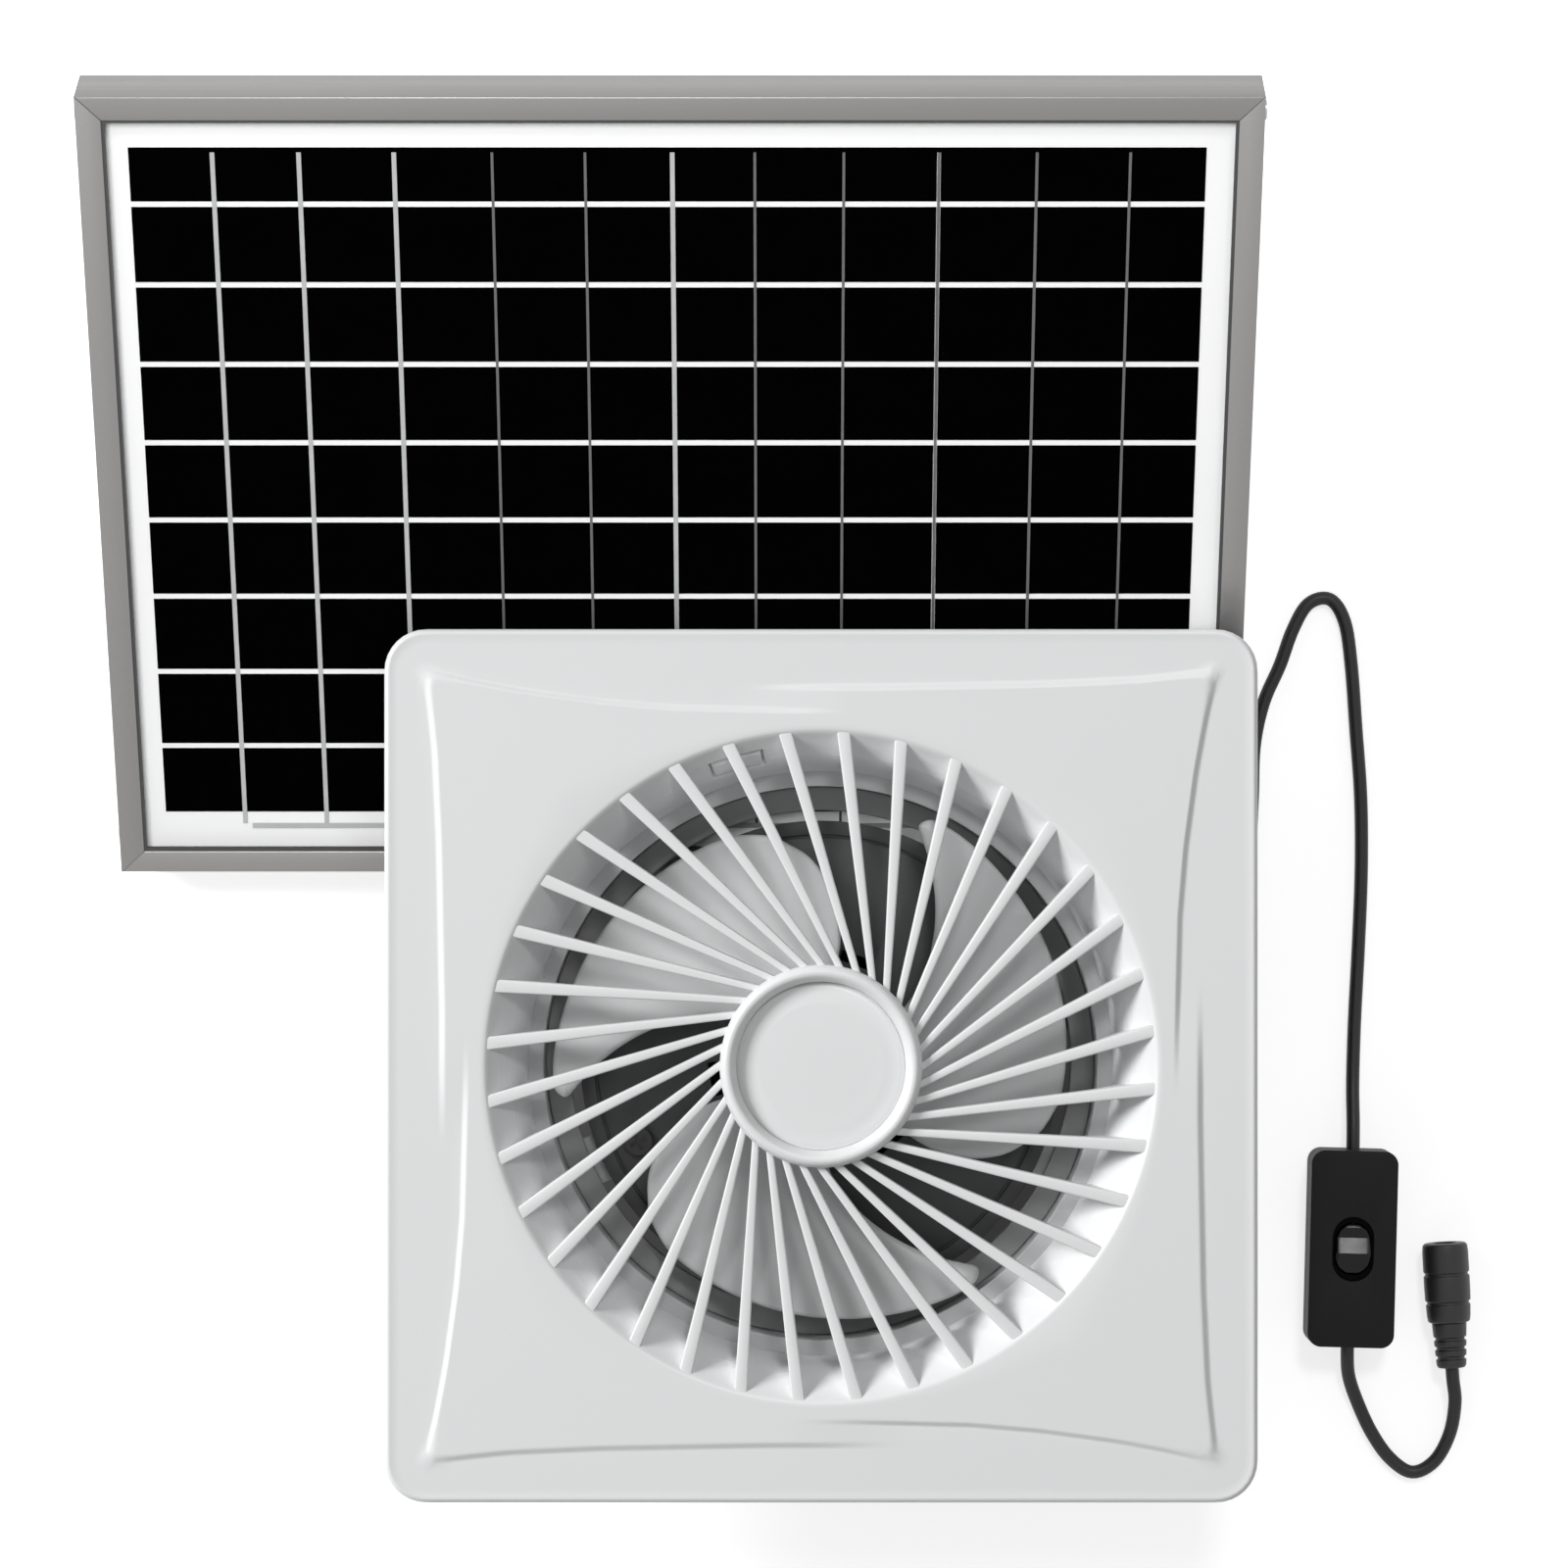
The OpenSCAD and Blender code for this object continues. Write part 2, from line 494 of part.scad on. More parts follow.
base_flange();
base_collar();
base_throat();
base_arms();
rear_plate();
plate_screws();
pod_cover();
pod_screws();
motor_can();
motor_end_bell();
motor_stator();
motor_bushes();
motor_screws();
driver_board();
motor_leads();
gland();
gland_nut();
cover_plate();
cover_grille();
hub_disc();
impeller();
shaft();
rotor_magnet();
impeller_nut();
shaft_collar();
frame_bottom();
frame_top();
frame_left();
frame_right();
corner_keys();
frame_screws();
glass();
cells();
ribbons();
bus_ribbon();
backsheet();
edge_seal();
box_base();
box_lid();
box_gland();
box_diode();
box_terminals();
stay_leg_left();
stay_leg_right();
stay_crossbar();
stay_feet();
stay_clips();
lead_main();
lead_tail();
switch_lower();
switch_upper();
switch_screws();
switch_contacts();
rocker();
rocker_pin();
socket_relief();
socket_body();
socket_barrel();
socket_pin();
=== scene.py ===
import math
import bmesh
import bpy
import numpy as np
from mathutils import Matrix, Vector


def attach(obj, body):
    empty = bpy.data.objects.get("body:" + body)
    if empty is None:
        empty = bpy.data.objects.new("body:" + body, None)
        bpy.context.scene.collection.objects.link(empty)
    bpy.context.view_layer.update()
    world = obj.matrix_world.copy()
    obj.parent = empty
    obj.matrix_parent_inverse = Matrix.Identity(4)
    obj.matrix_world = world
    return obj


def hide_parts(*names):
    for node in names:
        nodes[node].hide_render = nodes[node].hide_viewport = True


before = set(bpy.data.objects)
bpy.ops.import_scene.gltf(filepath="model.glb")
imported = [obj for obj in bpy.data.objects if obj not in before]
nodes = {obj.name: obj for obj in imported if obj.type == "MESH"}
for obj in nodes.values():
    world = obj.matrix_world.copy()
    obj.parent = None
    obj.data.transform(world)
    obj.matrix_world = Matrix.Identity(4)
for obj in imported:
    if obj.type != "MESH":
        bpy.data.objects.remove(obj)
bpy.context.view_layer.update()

# Light comes mainly from the upper left, with a soft white room around it. The table is painted dark right
# under the fan, a painted shade and not a cast shadow.
camera = bpy.data.objects.new("camera", bpy.data.cameras.new("camera"))
camera.location = (-0.0106, 0.0807, 1.72)
camera.data.lens = 132.7
camera.data.sensor_width = 36.0
camera.data.clip_end = 50.0
bpy.context.scene.collection.objects.link(camera)
bpy.context.scene.camera = camera
bpy.context.scene.view_settings.view_transform = "Standard"

room = bpy.data.worlds.new("room")
bpy.context.scene.world = room
room.use_nodes = True
room_tree = room.node_tree
dim = room_tree.nodes["Background"]
dim.inputs["Color"].default_value = (1.0, 1.0, 1.0, 1.0)
dim.inputs["Strength"].default_value = 0.2
bright = room_tree.nodes.new("ShaderNodeBackground")
bright.inputs["Color"].default_value = (1.0, 1.0, 1.0, 1.0)
bright.inputs["Strength"].default_value = 1.0
pick = room_tree.nodes.new("ShaderNodeMixShader")


def looks(tree, factor):
    """Links the rays that see the background, straight on or in metal and glass."""
    path = tree.nodes.new("ShaderNodeLightPath")
    seen = path.outputs["Is Camera Ray"]
    for ray in ("Is Glossy Ray", "Is Transmission Ray"):
        most = tree.nodes.new("ShaderNodeMath")
        most.operation = "MAXIMUM"
        tree.links.new(seen, most.inputs[0])
        tree.links.new(path.outputs[ray], most.inputs[1])
        seen = most.outputs[0]
    tree.links.new(seen, factor)


looks(room_tree, pick.inputs[0])
room_tree.links.new(dim.outputs[0], pick.inputs[1])
room_tree.links.new(bright.outputs[0], pick.inputs[2])
room_tree.links.new(pick.outputs[0], room_tree.nodes["World Output"].inputs[0])

lamps = {}
for name, place, aim, size, power in (
    ("window", (-3.5, 1.6, 2.45), (0, 0, 0), 1.5, 202.0),
    ("skylight", (0.39, 1.11, 2.08), (0.157, -0.056, 0), 0.4, 9.0),
    ("low_fill", (-0.9, -1.8, 1.4), (0, 0, 0), 1.4, 2.0),
    ("panel_lamp", (-0.3, 0.25, 1.6), (-0.042, 0.16, 0.075), 0.6, 22.5),
):
    lamp = bpy.data.objects.new(name, bpy.data.lights.new(name, "AREA"))
    lamp.data.size = size
    lamp.data.energy = power
    lamp.location = place
    lamp.rotation_euler = (Vector(aim) - Vector(place)).to_track_quat("-Z", "Y").to_euler()
    bpy.context.scene.collection.objects.link(lamp)
    lamps[name] = lamp

table_mesh = bpy.data.meshes.new("table")
table_mesh.from_pydata([(-3, -3, 0), (3, -3, 0), (3, 3, 0), (-3, 3, 0)], [], [(0, 1, 2, 3)])
table = bpy.data.objects.new("table", table_mesh)
bpy.context.scene.collection.objects.link(table)
table_paint = bpy.data.materials.new("table_white")
table_paint.use_nodes = True
table_tree = table_paint.node_tree
paint = table_tree.nodes["Principled BSDF"]
paint.inputs["Roughness"].default_value = 0.9
glow = table_tree.nodes.new("ShaderNodeEmission")
# Painted shade: the table's colour and glow are painted near black within 85 mm of the fan's axis, fading to
# white by 125 mm.
under = table_tree.nodes.new("ShaderNodeTexGradient")
under.gradient_type = "SPHERICAL"
spread = table_tree.nodes.new("ShaderNodeMapping")
spread.inputs["Scale"].default_value = (8.0, 8.0, 8.0)
table_tree.links.new(table_tree.nodes.new("ShaderNodeTexCoord").outputs["Object"], spread.inputs[0])
table_tree.links.new(spread.outputs[0], under.inputs[0])
for top, socket in ((0.72, glow.inputs["Color"]), (0.82, paint.inputs["Base Color"])):
    painted_shade_tone = table_tree.nodes.new("ShaderNodeMapRange")
    painted_shade_tone.inputs["From Max"].default_value = 0.32
    painted_shade_tone.inputs["To Min"].default_value = top
    painted_shade_tone.inputs["To Max"].default_value = 0.03
    table_tree.links.new(under.outputs["Fac"], painted_shade_tone.inputs["Value"])
    table_tree.links.new(painted_shade_tone.outputs[0], socket)
both = table_tree.nodes.new("ShaderNodeAddShader")
lift = table_tree.nodes.new("ShaderNodeMixShader")
table_tree.links.new(paint.outputs[0], both.inputs[0])
table_tree.links.new(glow.outputs[0], both.inputs[1])
looks(table_tree, lift.inputs[0])
table_tree.links.new(paint.outputs[0], lift.inputs[1])
table_tree.links.new(both.outputs[0], lift.inputs[2])
table_tree.links.new(lift.outputs[0], table_tree.nodes["Material Output"].inputs[0])
table_mesh.materials.append(table_paint)


# ---- Lead ----
# A round two-core lead in black PVC, 4 mm thick. It leaves the gland on the motor pod,
# lies on the table to the inline switch, and a short tail goes on to the DC socket.
class Level:
    """A number that varies over a surface."""

    def __init__(self, finish, socket):
        self.finish, self.socket = finish, socket

    def work(self, operation, *others):
        maths = self.finish.add("ShaderNodeMath", {"operation": operation}, others)
        return Level(self.finish, maths.outputs[0])

    def __add__(self, other):
        return self.work("ADD", self, other)

    def __mul__(self, other):
        return self.work("MULTIPLY", self, other)

    __radd__, __rmul__ = __add__, __mul__


class Finish:
    """A material, made on Object coordinates."""

    def __init__(self, name, colour, rough, **plain):
        self.material = bpy.data.materials.new(name)
        self.material.use_nodes = True
        self.tree = self.material.node_tree
        self.shader = self.tree.nodes["Principled BSDF"]
        self.shader.inputs["Base Color"].default_value = (*colour, 1)
        self.shader.inputs["Roughness"].default_value = rough
        for socket, value in plain.items():
            self.shader.inputs[socket.replace("_", " ")].default_value = value
        self.place = self.add("ShaderNodeTexCoord").outputs["Object"]

    def add(self, kind, settings=None, values=()):
        """A node, its settings made first, then the values or links of its sockets."""
        node = self.tree.nodes.new(kind)
        for key, value in (settings or {}).items():
            setattr(node, key, value)
        for key, value in values.items() if isinstance(values, dict) else enumerate(values):
            if isinstance(value, Level):
                value = value.socket
            if isinstance(value, bpy.types.NodeSocket):
                self.tree.links.new(value, node.inputs[key])
            else:
                node.inputs[key].default_value = value
        return node

    def noise(self, scale, detail=2.0, stretch=None):
        place = self.place
        if stretch:
            place = self.add("ShaderNodeMapping", values={"Vector": place, "Scale": stretch}).outputs[0]
        grain = self.add("ShaderNodeTexNoise", values={"Vector": place, "Scale": scale, "Detail": detail})
        return Level(self, grain.outputs[0])

    def tint(self, level, shade):
        """The base colour goes towards shade where level is high."""
        mix = self.add("ShaderNodeMix", {"data_type": "RGBA"}, {0: level})
        base = self.shader.inputs["Base Color"]
        if base.is_linked:
            self.tree.links.new(base.links[0].from_socket, mix.inputs[6])
        else:
            mix.inputs[6].default_value = base.default_value
        mix.inputs[7].default_value = (*shade, 1)
        self.tree.links.new(mix.outputs[2], base)

    def rough(self, level):
        self.tree.links.new(level.socket, self.shader.inputs["Roughness"])

    def bump(self, level, depth, strength=1.0):
        relief = self.add("ShaderNodeBump", values={"Strength": strength, "Distance": depth, "Height": level})
        self.tree.links.new(relief.outputs[0], self.shader.inputs["Normal"])


lead_pvc = Finish("lead_pvc", (0.01, 0.01, 0.0105), 0.42, Specular_IOR_Level=0.4)
lead_mottle = lead_pvc.noise(260.0, 3.0)
lead_pvc.tint(lead_mottle * 0.5, (0.018, 0.018, 0.019))
lead_pvc.rough(lead_mottle * 0.2 + 0.34)
lead_pvc.bump(lead_pvc.noise(900.0, 2.0), 0.00006, 0.5)

lead_half = 0.002
main_route = [(62, 10, 14), (67, 10, 14), (75, 10, 12.4), (83, 10.2, 8.6), (91, 11.5, 4.6),
    (99, 14.5, 2.3), (107, 19.5, 2), (114.5, 26.5, 2), (120.5, 35.5, 2), (125, 47, 2),
    (127.6, 60, 2), (128.6, 76, 2), (129.2, 92, 2), (132, 105, 2), (136.8, 116, 2),
    (140.6, 126.5, 2), (145.2, 134.2, 2), (151.6, 135.6, 2), (156, 129, 2), (158, 116, 2),
    (159.4, 97, 2), (160.8, 77, 2), (161, 56, 2), (160.2, 34, 2), (159, 11, 2),
    (158.3, -8, 3.4), (158.1, -20, 7), (157.9, -30, 8)]
tail_route = [(156.5, -83, 8), (156.3, -88, 7.4), (157, -95, 4.6), (159.8, -103, 2.3),
    (164, -112, 2), (169.4, -119.6, 2), (176, -123.8, 2), (182.6, -120.6, 2.2),
    (187, -112.4, 3.6), (188.4, -103, 5.8), (187.7, -96, 6.8), (187.2, -90, 6.9)]


def laid(name, route):
    """A curve that follows the route smoothly, in metres."""
    ends = [route[0], *route, route[-1]]
    line = []
    for a, b, c, d in zip(ends, ends[1:], ends[2:], ends[3:]):
        a, b, c, d = (Vector(p) / 1000 for p in (a, b, c, d))
        for step in range(6):
            t = step / 6
            point = 0.5 * (2 * b + (c - a) * t + (2 * a - 5 * b + 4 * c - d) * t * t
                + (3 * b - a - 3 * c + d) * t ** 3)
            point.z = max(point.z, lead_half + 0.00002)
            line.append(point)
    line.append(Vector(route[-1]) / 1000)
    curve = bpy.data.curves.new(name, "CURVE")
    curve.dimensions = "3D"
    curve.bevel_depth = lead_half
    curve.bevel_resolution = 5
    curve.use_fill_caps = True
    spline = curve.splines.new("POLY")
    spline.points.add(len(line) - 1)
    for point, where in zip(spline.points, line):
        point.co = (*where, 1)
    spline.use_smooth = True
    curve.materials.append(lead_pvc.material)
    lead = bpy.data.objects.new(name, curve)
    bpy.context.scene.collection.objects.link(lead)
    return lead


main_lead = laid("main_lead", main_route)
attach(main_lead, "base")
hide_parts("lead_main")
tail_lead = laid("tail_lead", tail_route)
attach(tail_lead, "base")
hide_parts("lead_tail")


# ---- Inline switch ----
# Two black moulded shells screwed together, with a stadium-shaped well for the rocker
# and a thin rubber gasket round it. The rocker tips on a pin over brass contacts.
panel_pieces = []


def keep(name, mesh, finish, body, slot, *stands_for, angle=40):
    """Makes a mesh into a finished piece on its body."""
    piece = bpy.data.objects.new(name, mesh)
    bpy.context.scene.collection.objects.link(piece)
    if body == "panel":
        panel_pieces.append(piece)
    mesh.materials.clear()
    mesh.materials.append(finish.material)
    mesh.shade_smooth()
    mesh.set_sharp_from_angle(angle=math.radians(angle))
    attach(piece, body)
    if stands_for:
        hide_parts(*stands_for)
    return piece


def eased(node, finish, body, slot, width=0.3, steps=2, angle=30):
    """The CAD solid with its edges rounded over by width millimetres."""
    mesh = nodes[node].data.copy()
    work = bmesh.new()
    work.from_mesh(mesh)
    bmesh.ops.remove_doubles(work, verts=work.verts, dist=2e-6)
    bmesh.ops.dissolve_limit(work, angle_limit=math.radians(0.5), verts=work.verts, edges=work.edges)
    sharp = [e for e in work.edges if len(e.link_faces) == 2 and e.calc_face_angle(0) > math.radians(angle)]
    bmesh.ops.bevel(work, geom=sharp, offset=width / 1000, segments=steps, profile=0.5,
        affect="EDGES", clamp_overlap=True)
    work.to_mesh(mesh)
    work.free()
    return keep(node + "_eased", mesh, finish, body, slot, node)


def dressed(finish, *names):
    """CAD solids that keep their shape and get this finish."""
    for name in names:
        mesh = nodes[name].data
        mesh.materials.clear()
        mesh.materials.append(finish.material)


switch_shell = Finish("switch_shell", (0.012, 0.012, 0.0125), 0.5, Specular_IOR_Level=0.16)
spark = switch_shell.noise(1500.0, 2.0)
switch_shell.tint(switch_shell.noise(60.0, 3.0) * 0.4, (0.014, 0.014, 0.0145))
switch_shell.rough(spark * 0.16 + 0.42)
switch_shell.bump(spark, 0.00004, 0.6)
eased("switch_lower", switch_shell, "base", "black_plastic", 0.8, 3)
eased("switch_upper", switch_shell, "base", "black_plastic", 0.45, 3)

rocker_gloss = Finish("rocker_gloss", (0.004, 0.004, 0.0045), 0.2, Specular_IOR_Level=0.24)
rocker_gloss.rough(rocker_gloss.noise(300.0, 2.0) * 0.08 + 0.16)
rocker_wide, rocker_long, rocker_soft = 5.2, 7.5, 0.9  # half sizes, and how far the edges are rounded
rocker_crest = ((-7.5, 1.7), (-6.2, 2.3), (-1.1, 3.9), (3.4, 2.5), (3.6, 2.65), (6.2, 2.6), (7.5, 2.3))


def on_switch(height):
    """Takes a shape in millimetres to its place on the switch, height metres up."""
    return (Matrix.Translation((0.1572, -0.0565, height)) @ Matrix.Rotation(math.radians(-1.5), 4, "Z")
        @ Matrix.Scale(0.001, 4))


def rocker_mesh():
    """A stadium key whose crest falls to both ends, with a flat thumb cap at the top."""
    work = bmesh.new()
    rows = []
    straight = rocker_long - rocker_wide
    crest_bends = [-1.1, 3.4, 3.6]
    for y in np.unique(np.concatenate([-rocker_long * np.cos(np.linspace(0, math.pi, 50)), crest_bends])):
        wide = math.sqrt(max(rocker_wide ** 2 - max(abs(y) - straight, 0) ** 2, 0.0))
        row = []
        for share in np.sin(np.linspace(-math.pi / 2, math.pi / 2, 25)):
            edge = min(wide * (1 - abs(share)), rocker_long - abs(y)) + 0.02
            drop = rocker_soft - math.sqrt(rocker_soft ** 2 - max(rocker_soft - edge, 0) ** 2)
            crest = np.interp(y, *zip(*rocker_crest))
            row.append(work.verts.new((wide * share, y, crest - drop - 0.12 * share * share)))
        rows.append(row)
    base = [[work.verts.new((v.co.x, v.co.y, -2.0)) for v in row] for row in rows]
    for a, b, c, d in zip(rows, rows[1:], base, base[1:]):
        for j in range(24):
            work.faces.new((a[j], a[j + 1], b[j + 1], b[j]))
            work.faces.new((c[j], d[j], d[j + 1], c[j + 1]))
        work.faces.new((a[0], b[0], d[0], c[0]))
        work.faces.new((a[-1], c[-1], d[-1], b[-1]))
    for a, c in ((rows[0], base[0]), (rows[-1], base[-1])):
        for j in range(24):
            work.faces.new((a[j], a[j + 1], c[j + 1], c[j]))
    bmesh.ops.remove_doubles(work, verts=work.verts, dist=0.001)
    bmesh.ops.recalc_face_normals(work, faces=work.faces)
    mesh = bpy.data.meshes.new("rocker_key")
    work.to_mesh(mesh)
    work.free()
    mesh.transform(on_switch(0.0136))
    return mesh


keep("rocker_key", rocker_mesh(), rocker_gloss, "rocker", "black_plastic", "rocker", angle=12)


def gasket_mesh():
    """A flat gasket between two stadiums, round the rocker."""
    work = bmesh.new()
    loops = []
    outer, inner = (6.0, 6.0, 3.45), (5.45, 5.4, 2.4)
    low, high = 15.02, 15.2
    for (x, y, straight), z in ((outer, low), (outer, high), (inner, high), (inner, low)):
        loop = []
        for step in range(96):
            c, s = math.cos(math.tau * (step + 0.5) / 96), math.sin(math.tau * (step + 0.5) / 96)
            loop.append(work.verts.new((x * c, y * s + math.copysign(straight, s), z)))
        loops.append(loop)
    for a, b in zip(loops, loops[1:] + loops[:1]):
        for i in range(96):
            work.faces.new((a[i - 1], a[i], b[i], b[i - 1]))
    bmesh.ops.recalc_face_normals(work, faces=work.faces)
    mesh = bpy.data.meshes.new("rocker_gasket")
    work.to_mesh(mesh)
    work.free()
    mesh.transform(on_switch(0))
    return mesh


gasket = Finish("gasket_rubber", (0.003, 0.003, 0.003), 0.8, Specular_IOR_Level=0.05)
gasket.tint(gasket.noise(300.0, 2.0) * 0.5, (0.006, 0.006, 0.006))
keep("rocker_gasket", gasket_mesh(), gasket, "base", "black_rubber")

plated = Finish("plated_steel", (0.55, 0.55, 0.56), 0.34, Metallic=1.0)
plated.tint(plated.noise(500.0, 3.0) * 0.5, (0.42, 0.42, 0.43))
plated.rough(plated.noise(900.0, 2.0) * 0.25 + 0.24)
dressed(plated, "switch_screws")
dressed(gasket, "rocker_pin")
brass = Finish("brass", (0.66, 0.46, 0.2), 0.35, Metallic=1.0)
brass.rough(brass.noise(700.0, 2.0) * 0.25 + 0.25)
dressed(brass, "switch_contacts")


# ---- DC socket ----
# A moulded rubber strain relief with grooves, and a tapering black grip with shallow
# rings. The open end has a spring barrel and a centre pin.
def rounded(outline, radius, steps=4):
    """A closed outline with its corners rounded."""
    soft = []
    for i, corner in enumerate(outline):
        corner = Vector(corner)
        if corner.x < 0.001:
            soft.append(corner)
            continue
        back, on = Vector(outline[i - 1]) - corner, Vector(outline[(i + 1) % len(outline)]) - corner
        reach = min(radius, back.length * 0.45, on.length * 0.45)
        back, on = corner + back.normalized() * reach, corner + on.normalized() * reach
        for step in range(steps + 1):
            t = step / steps
            soft.append(back * (1 - t) ** 2 + corner * 2 * t * (1 - t) + on * t * t)
    return soft


def turned(name, outline, steps=160):
    """A closed outline of radius and height in millimetres, turned about the fan's axis."""
    work = bmesh.new()
    rings = []
    for step in range(steps):
        c, s = math.cos(math.tau * step / steps) / 1000, math.sin(math.tau * step / steps) / 1000
        rings.append([work.verts.new((r * c, r * s, z / 1000)) for r, z in outline])
    for a, b in zip(rings, rings[1:] + rings[:1]):
        for i in range(len(outline)):
            work.faces.new((a[i - 1], b[i - 1], b[i], a[i]))
    bmesh.ops.remove_doubles(work, verts=work.verts, dist=1e-7)
    bmesh.ops.recalc_face_normals(work, faces=work.faces)
    mesh = bpy.data.meshes.new(name)
    work.to_mesh(mesh)
    work.free()
    return mesh


on_socket = (Matrix.Translation((0.1873, -0.0922, 0.0069)) @ Matrix.Rotation(math.radians(3.26), 4, "Z")
    @ Matrix.Rotation(math.radians(-90), 4, "X"))
grooves = []
for z in (2.4, 5.2, 8.0):
    r = 4.4 + z * 0.055
    grooves += [(r, z), (r - 0.55, z + 0.25), (r - 0.55, z + 0.95), (r + 0.04, z + 1.2)]
socket_rubber = Finish("socket_rubber", (0.02, 0.02, 0.0205), 0.45, Specular_IOR_Level=0.45)
socket_rubber.tint(socket_rubber.noise(200.0, 3.0) * 0.5, (0.03, 0.03, 0.031))
socket_rubber.bump(socket_rubber.noise(900.0, 2.0), 0.00005, 0.5)
relief_line = [(0, 0), (3.9, 0), (4.35, 0.7), *grooves, (5.1, 12.6), (5.1, 13.4), (0, 13.4)]
relief_mesh = turned("socket_relief_turned", rounded(relief_line, 0.3), 72)
relief_mesh.transform(on_socket)
keep("socket_relief_turned", relief_mesh, socket_rubber, "base", "black_rubber", "socket_relief")
grip_line = [(0, 13.4), (5.5, 13.4), (6.2, 13.8), (6.45, 15.5), (6.6, 18.7), (6.15, 19.1), (6.15, 19.6),
    (6.72, 20.0), (6.8, 24), (6.8, 27.2), (6.3, 27.6), (6.3, 28.1), (6.8, 28.5), (6.78, 34.4), (6.6, 36.3),
    (6.0, 36.96), (3.4, 36.96), (3.4, 24), (0, 24)]
grip_mesh = turned("socket_grip", rounded(grip_line, 0.35), 96)
grip_mesh.transform(on_socket)
keep("socket_grip", grip_mesh, socket_rubber, "base", "black_plastic", "socket_body")
dressed(plated, "socket_barrel", "socket_pin")


# ---- Fan base ----
# The back half of the fan is one grey ABS moulding: a flange that is screwed round the
# cut-out, a collar, the throat of the duct and four arms. They are turned and eased here.
fan_grey = Finish("fan_grey", (0.58, 0.585, 0.59), 0.42)
grey_mottle = fan_grey.noise(35.0, 4.0)
fan_grey.tint(grey_mottle * 0.35, (0.5, 0.505, 0.51))
fan_grey.rough(grey_mottle * 0.2 + 0.34)
fan_grey.bump(fan_grey.noise(700.0, 2.0), 0.00004, 0.5)
keep("base_collar_shell", turned("base_collar_shell", rounded([(80, 46), (95, 46), (95, 42), (98, 42),
    (98, 57), (95, 57), (95, 49), (80, 49)], 0.6)), fan_grey, "base", "grey_plastic", "base_collar")
keep("base_throat_shell", turned("base_throat_shell", rounded([(80, 30), (83, 30), (83, 46), (80, 46)],
    0.5)), fan_grey, "base", "grey_plastic", "base_throat")
# Painted shade: the lip is the same grey plastic as the moulding, coloured darker to stand for the shade deep
# in the throat.
lip_painted_shade_grey = Finish("lip_painted_shade_grey", (0.36, 0.362, 0.365), 0.5)
lip_painted_shade_grey.tint(lip_painted_shade_grey.noise(60.0, 3.0) * 0.5, (0.3, 0.302, 0.305))
lip_painted_shade_grey.bump(lip_painted_shade_grey.noise(600.0, 2.0), 0.00004, 0.5)
keep("throat_lip", turned("throat_lip", rounded([(73, 30), (79.9, 30), (79.9, 34), (79, 34), (74.5, 33),
    (73, 33)], 0.6)), lip_painted_shade_grey, "base", "grey_plastic")
eased("base_flange", fan_grey, "base", "grey_plastic", 0.5, 2)
eased("base_arms", fan_grey, "base", "grey_plastic", 0.5, 2)


# ---- Rear disc and motor pod ----
# A dark ABS disc carries the motor and closes the pod, a round can of the same plastic
# on which the fan lies. The lead comes out of the pod through a screwed gland.
pod_dark = Finish("pod_dark", (0.05, 0.051, 0.053), 0.5)
pod_grain = pod_dark.noise(420.0, 3.0)
pod_dark.tint(pod_dark.noise(40.0, 3.0) * 0.5, (0.066, 0.067, 0.069))
pod_dark.rough(pod_grain * 0.2 + 0.42)
pod_dark.bump(pod_grain, 0.00005, 0.6)
eased("rear_plate", pod_dark, "base", "dark_plastic", 0.3, 2)
eased("pod_cover", pod_dark, "base", "dark_plastic", 0.6, 3)
dressed(pod_dark, "motor_end_bell")
gland_nylon = Finish("gland_nylon", (0.02, 0.02, 0.021), 0.42)
gland_nylon.tint(gland_nylon.noise(200.0, 3.0) * 0.5, (0.032, 0.032, 0.033))
gland_nylon.bump(gland_nylon.noise(800.0, 2.0), 0.00004, 0.5)
eased("gland", gland_nylon, "base", "black_plastic", 0.35, 2)
dressed(gland_nylon, "gland_nut")
black_zinc = Finish("black_zinc", (0.035, 0.035, 0.036), 0.4, Metallic=0.6)
black_zinc.tint(black_zinc.noise(700.0, 2.0) * 0.5, (0.07, 0.07, 0.07))
dressed(black_zinc, "plate_screws", "pod_screws", "motor_screws")
dressed(plated, "motor_can")
dressed(brass, "motor_bushes")
winding = Finish("winding_copper", (0.5, 0.2, 0.08), 0.35, Metallic=0.8)
winding.rough(winding.noise(600.0, 2.0) * 0.3 + 0.25)
dressed(winding, "motor_stator")
mask_green = Finish("board_green", (0.03, 0.16, 0.07), 0.35)
mask_green.tint(mask_green.noise(900.0, 2.0) * 0.4, (0.05, 0.22, 0.1))
dressed(mask_green, "driver_board")
dressed(lead_pvc, "motor_leads")


# ---- Impeller ----
# Three swept blades and a hub in pale grey plastic, pressed on the motor's shaft. The
# front edge of each blade is rolled, and all edges are round.
blade_tilt = 0.1
blade_half, blade_height = 1.15, 46.2
edge_soft, roll_deep, roll_wide = 1.5, 1.5, 8.0
front_edge = ((25.0, 31.0), (34.2, 36.6), (51.9, 50.5), (65.5, 61.2), (71.0, 65.6), (73.0, 67.1),
    (74.2, 67.6), (75.2, 67.4), (76.0, 66.9), (76.8, 66.2), (77.3, 65.5), (77.6, 64.4))
back_edge = ((25.0, -38.5), (33.6, -39.9), (41.9, -38.0), (53.5, -31.8), (60.2, -26.6), (67.4, -17.2),
    (70.5, -8.9), (71.5, 3.1), (72.6, 16.4), (74.2, 32.9), (75.6, 46.0), (76.6, 53.6), (77.3, 59.4),
    (77.6, 64.4))


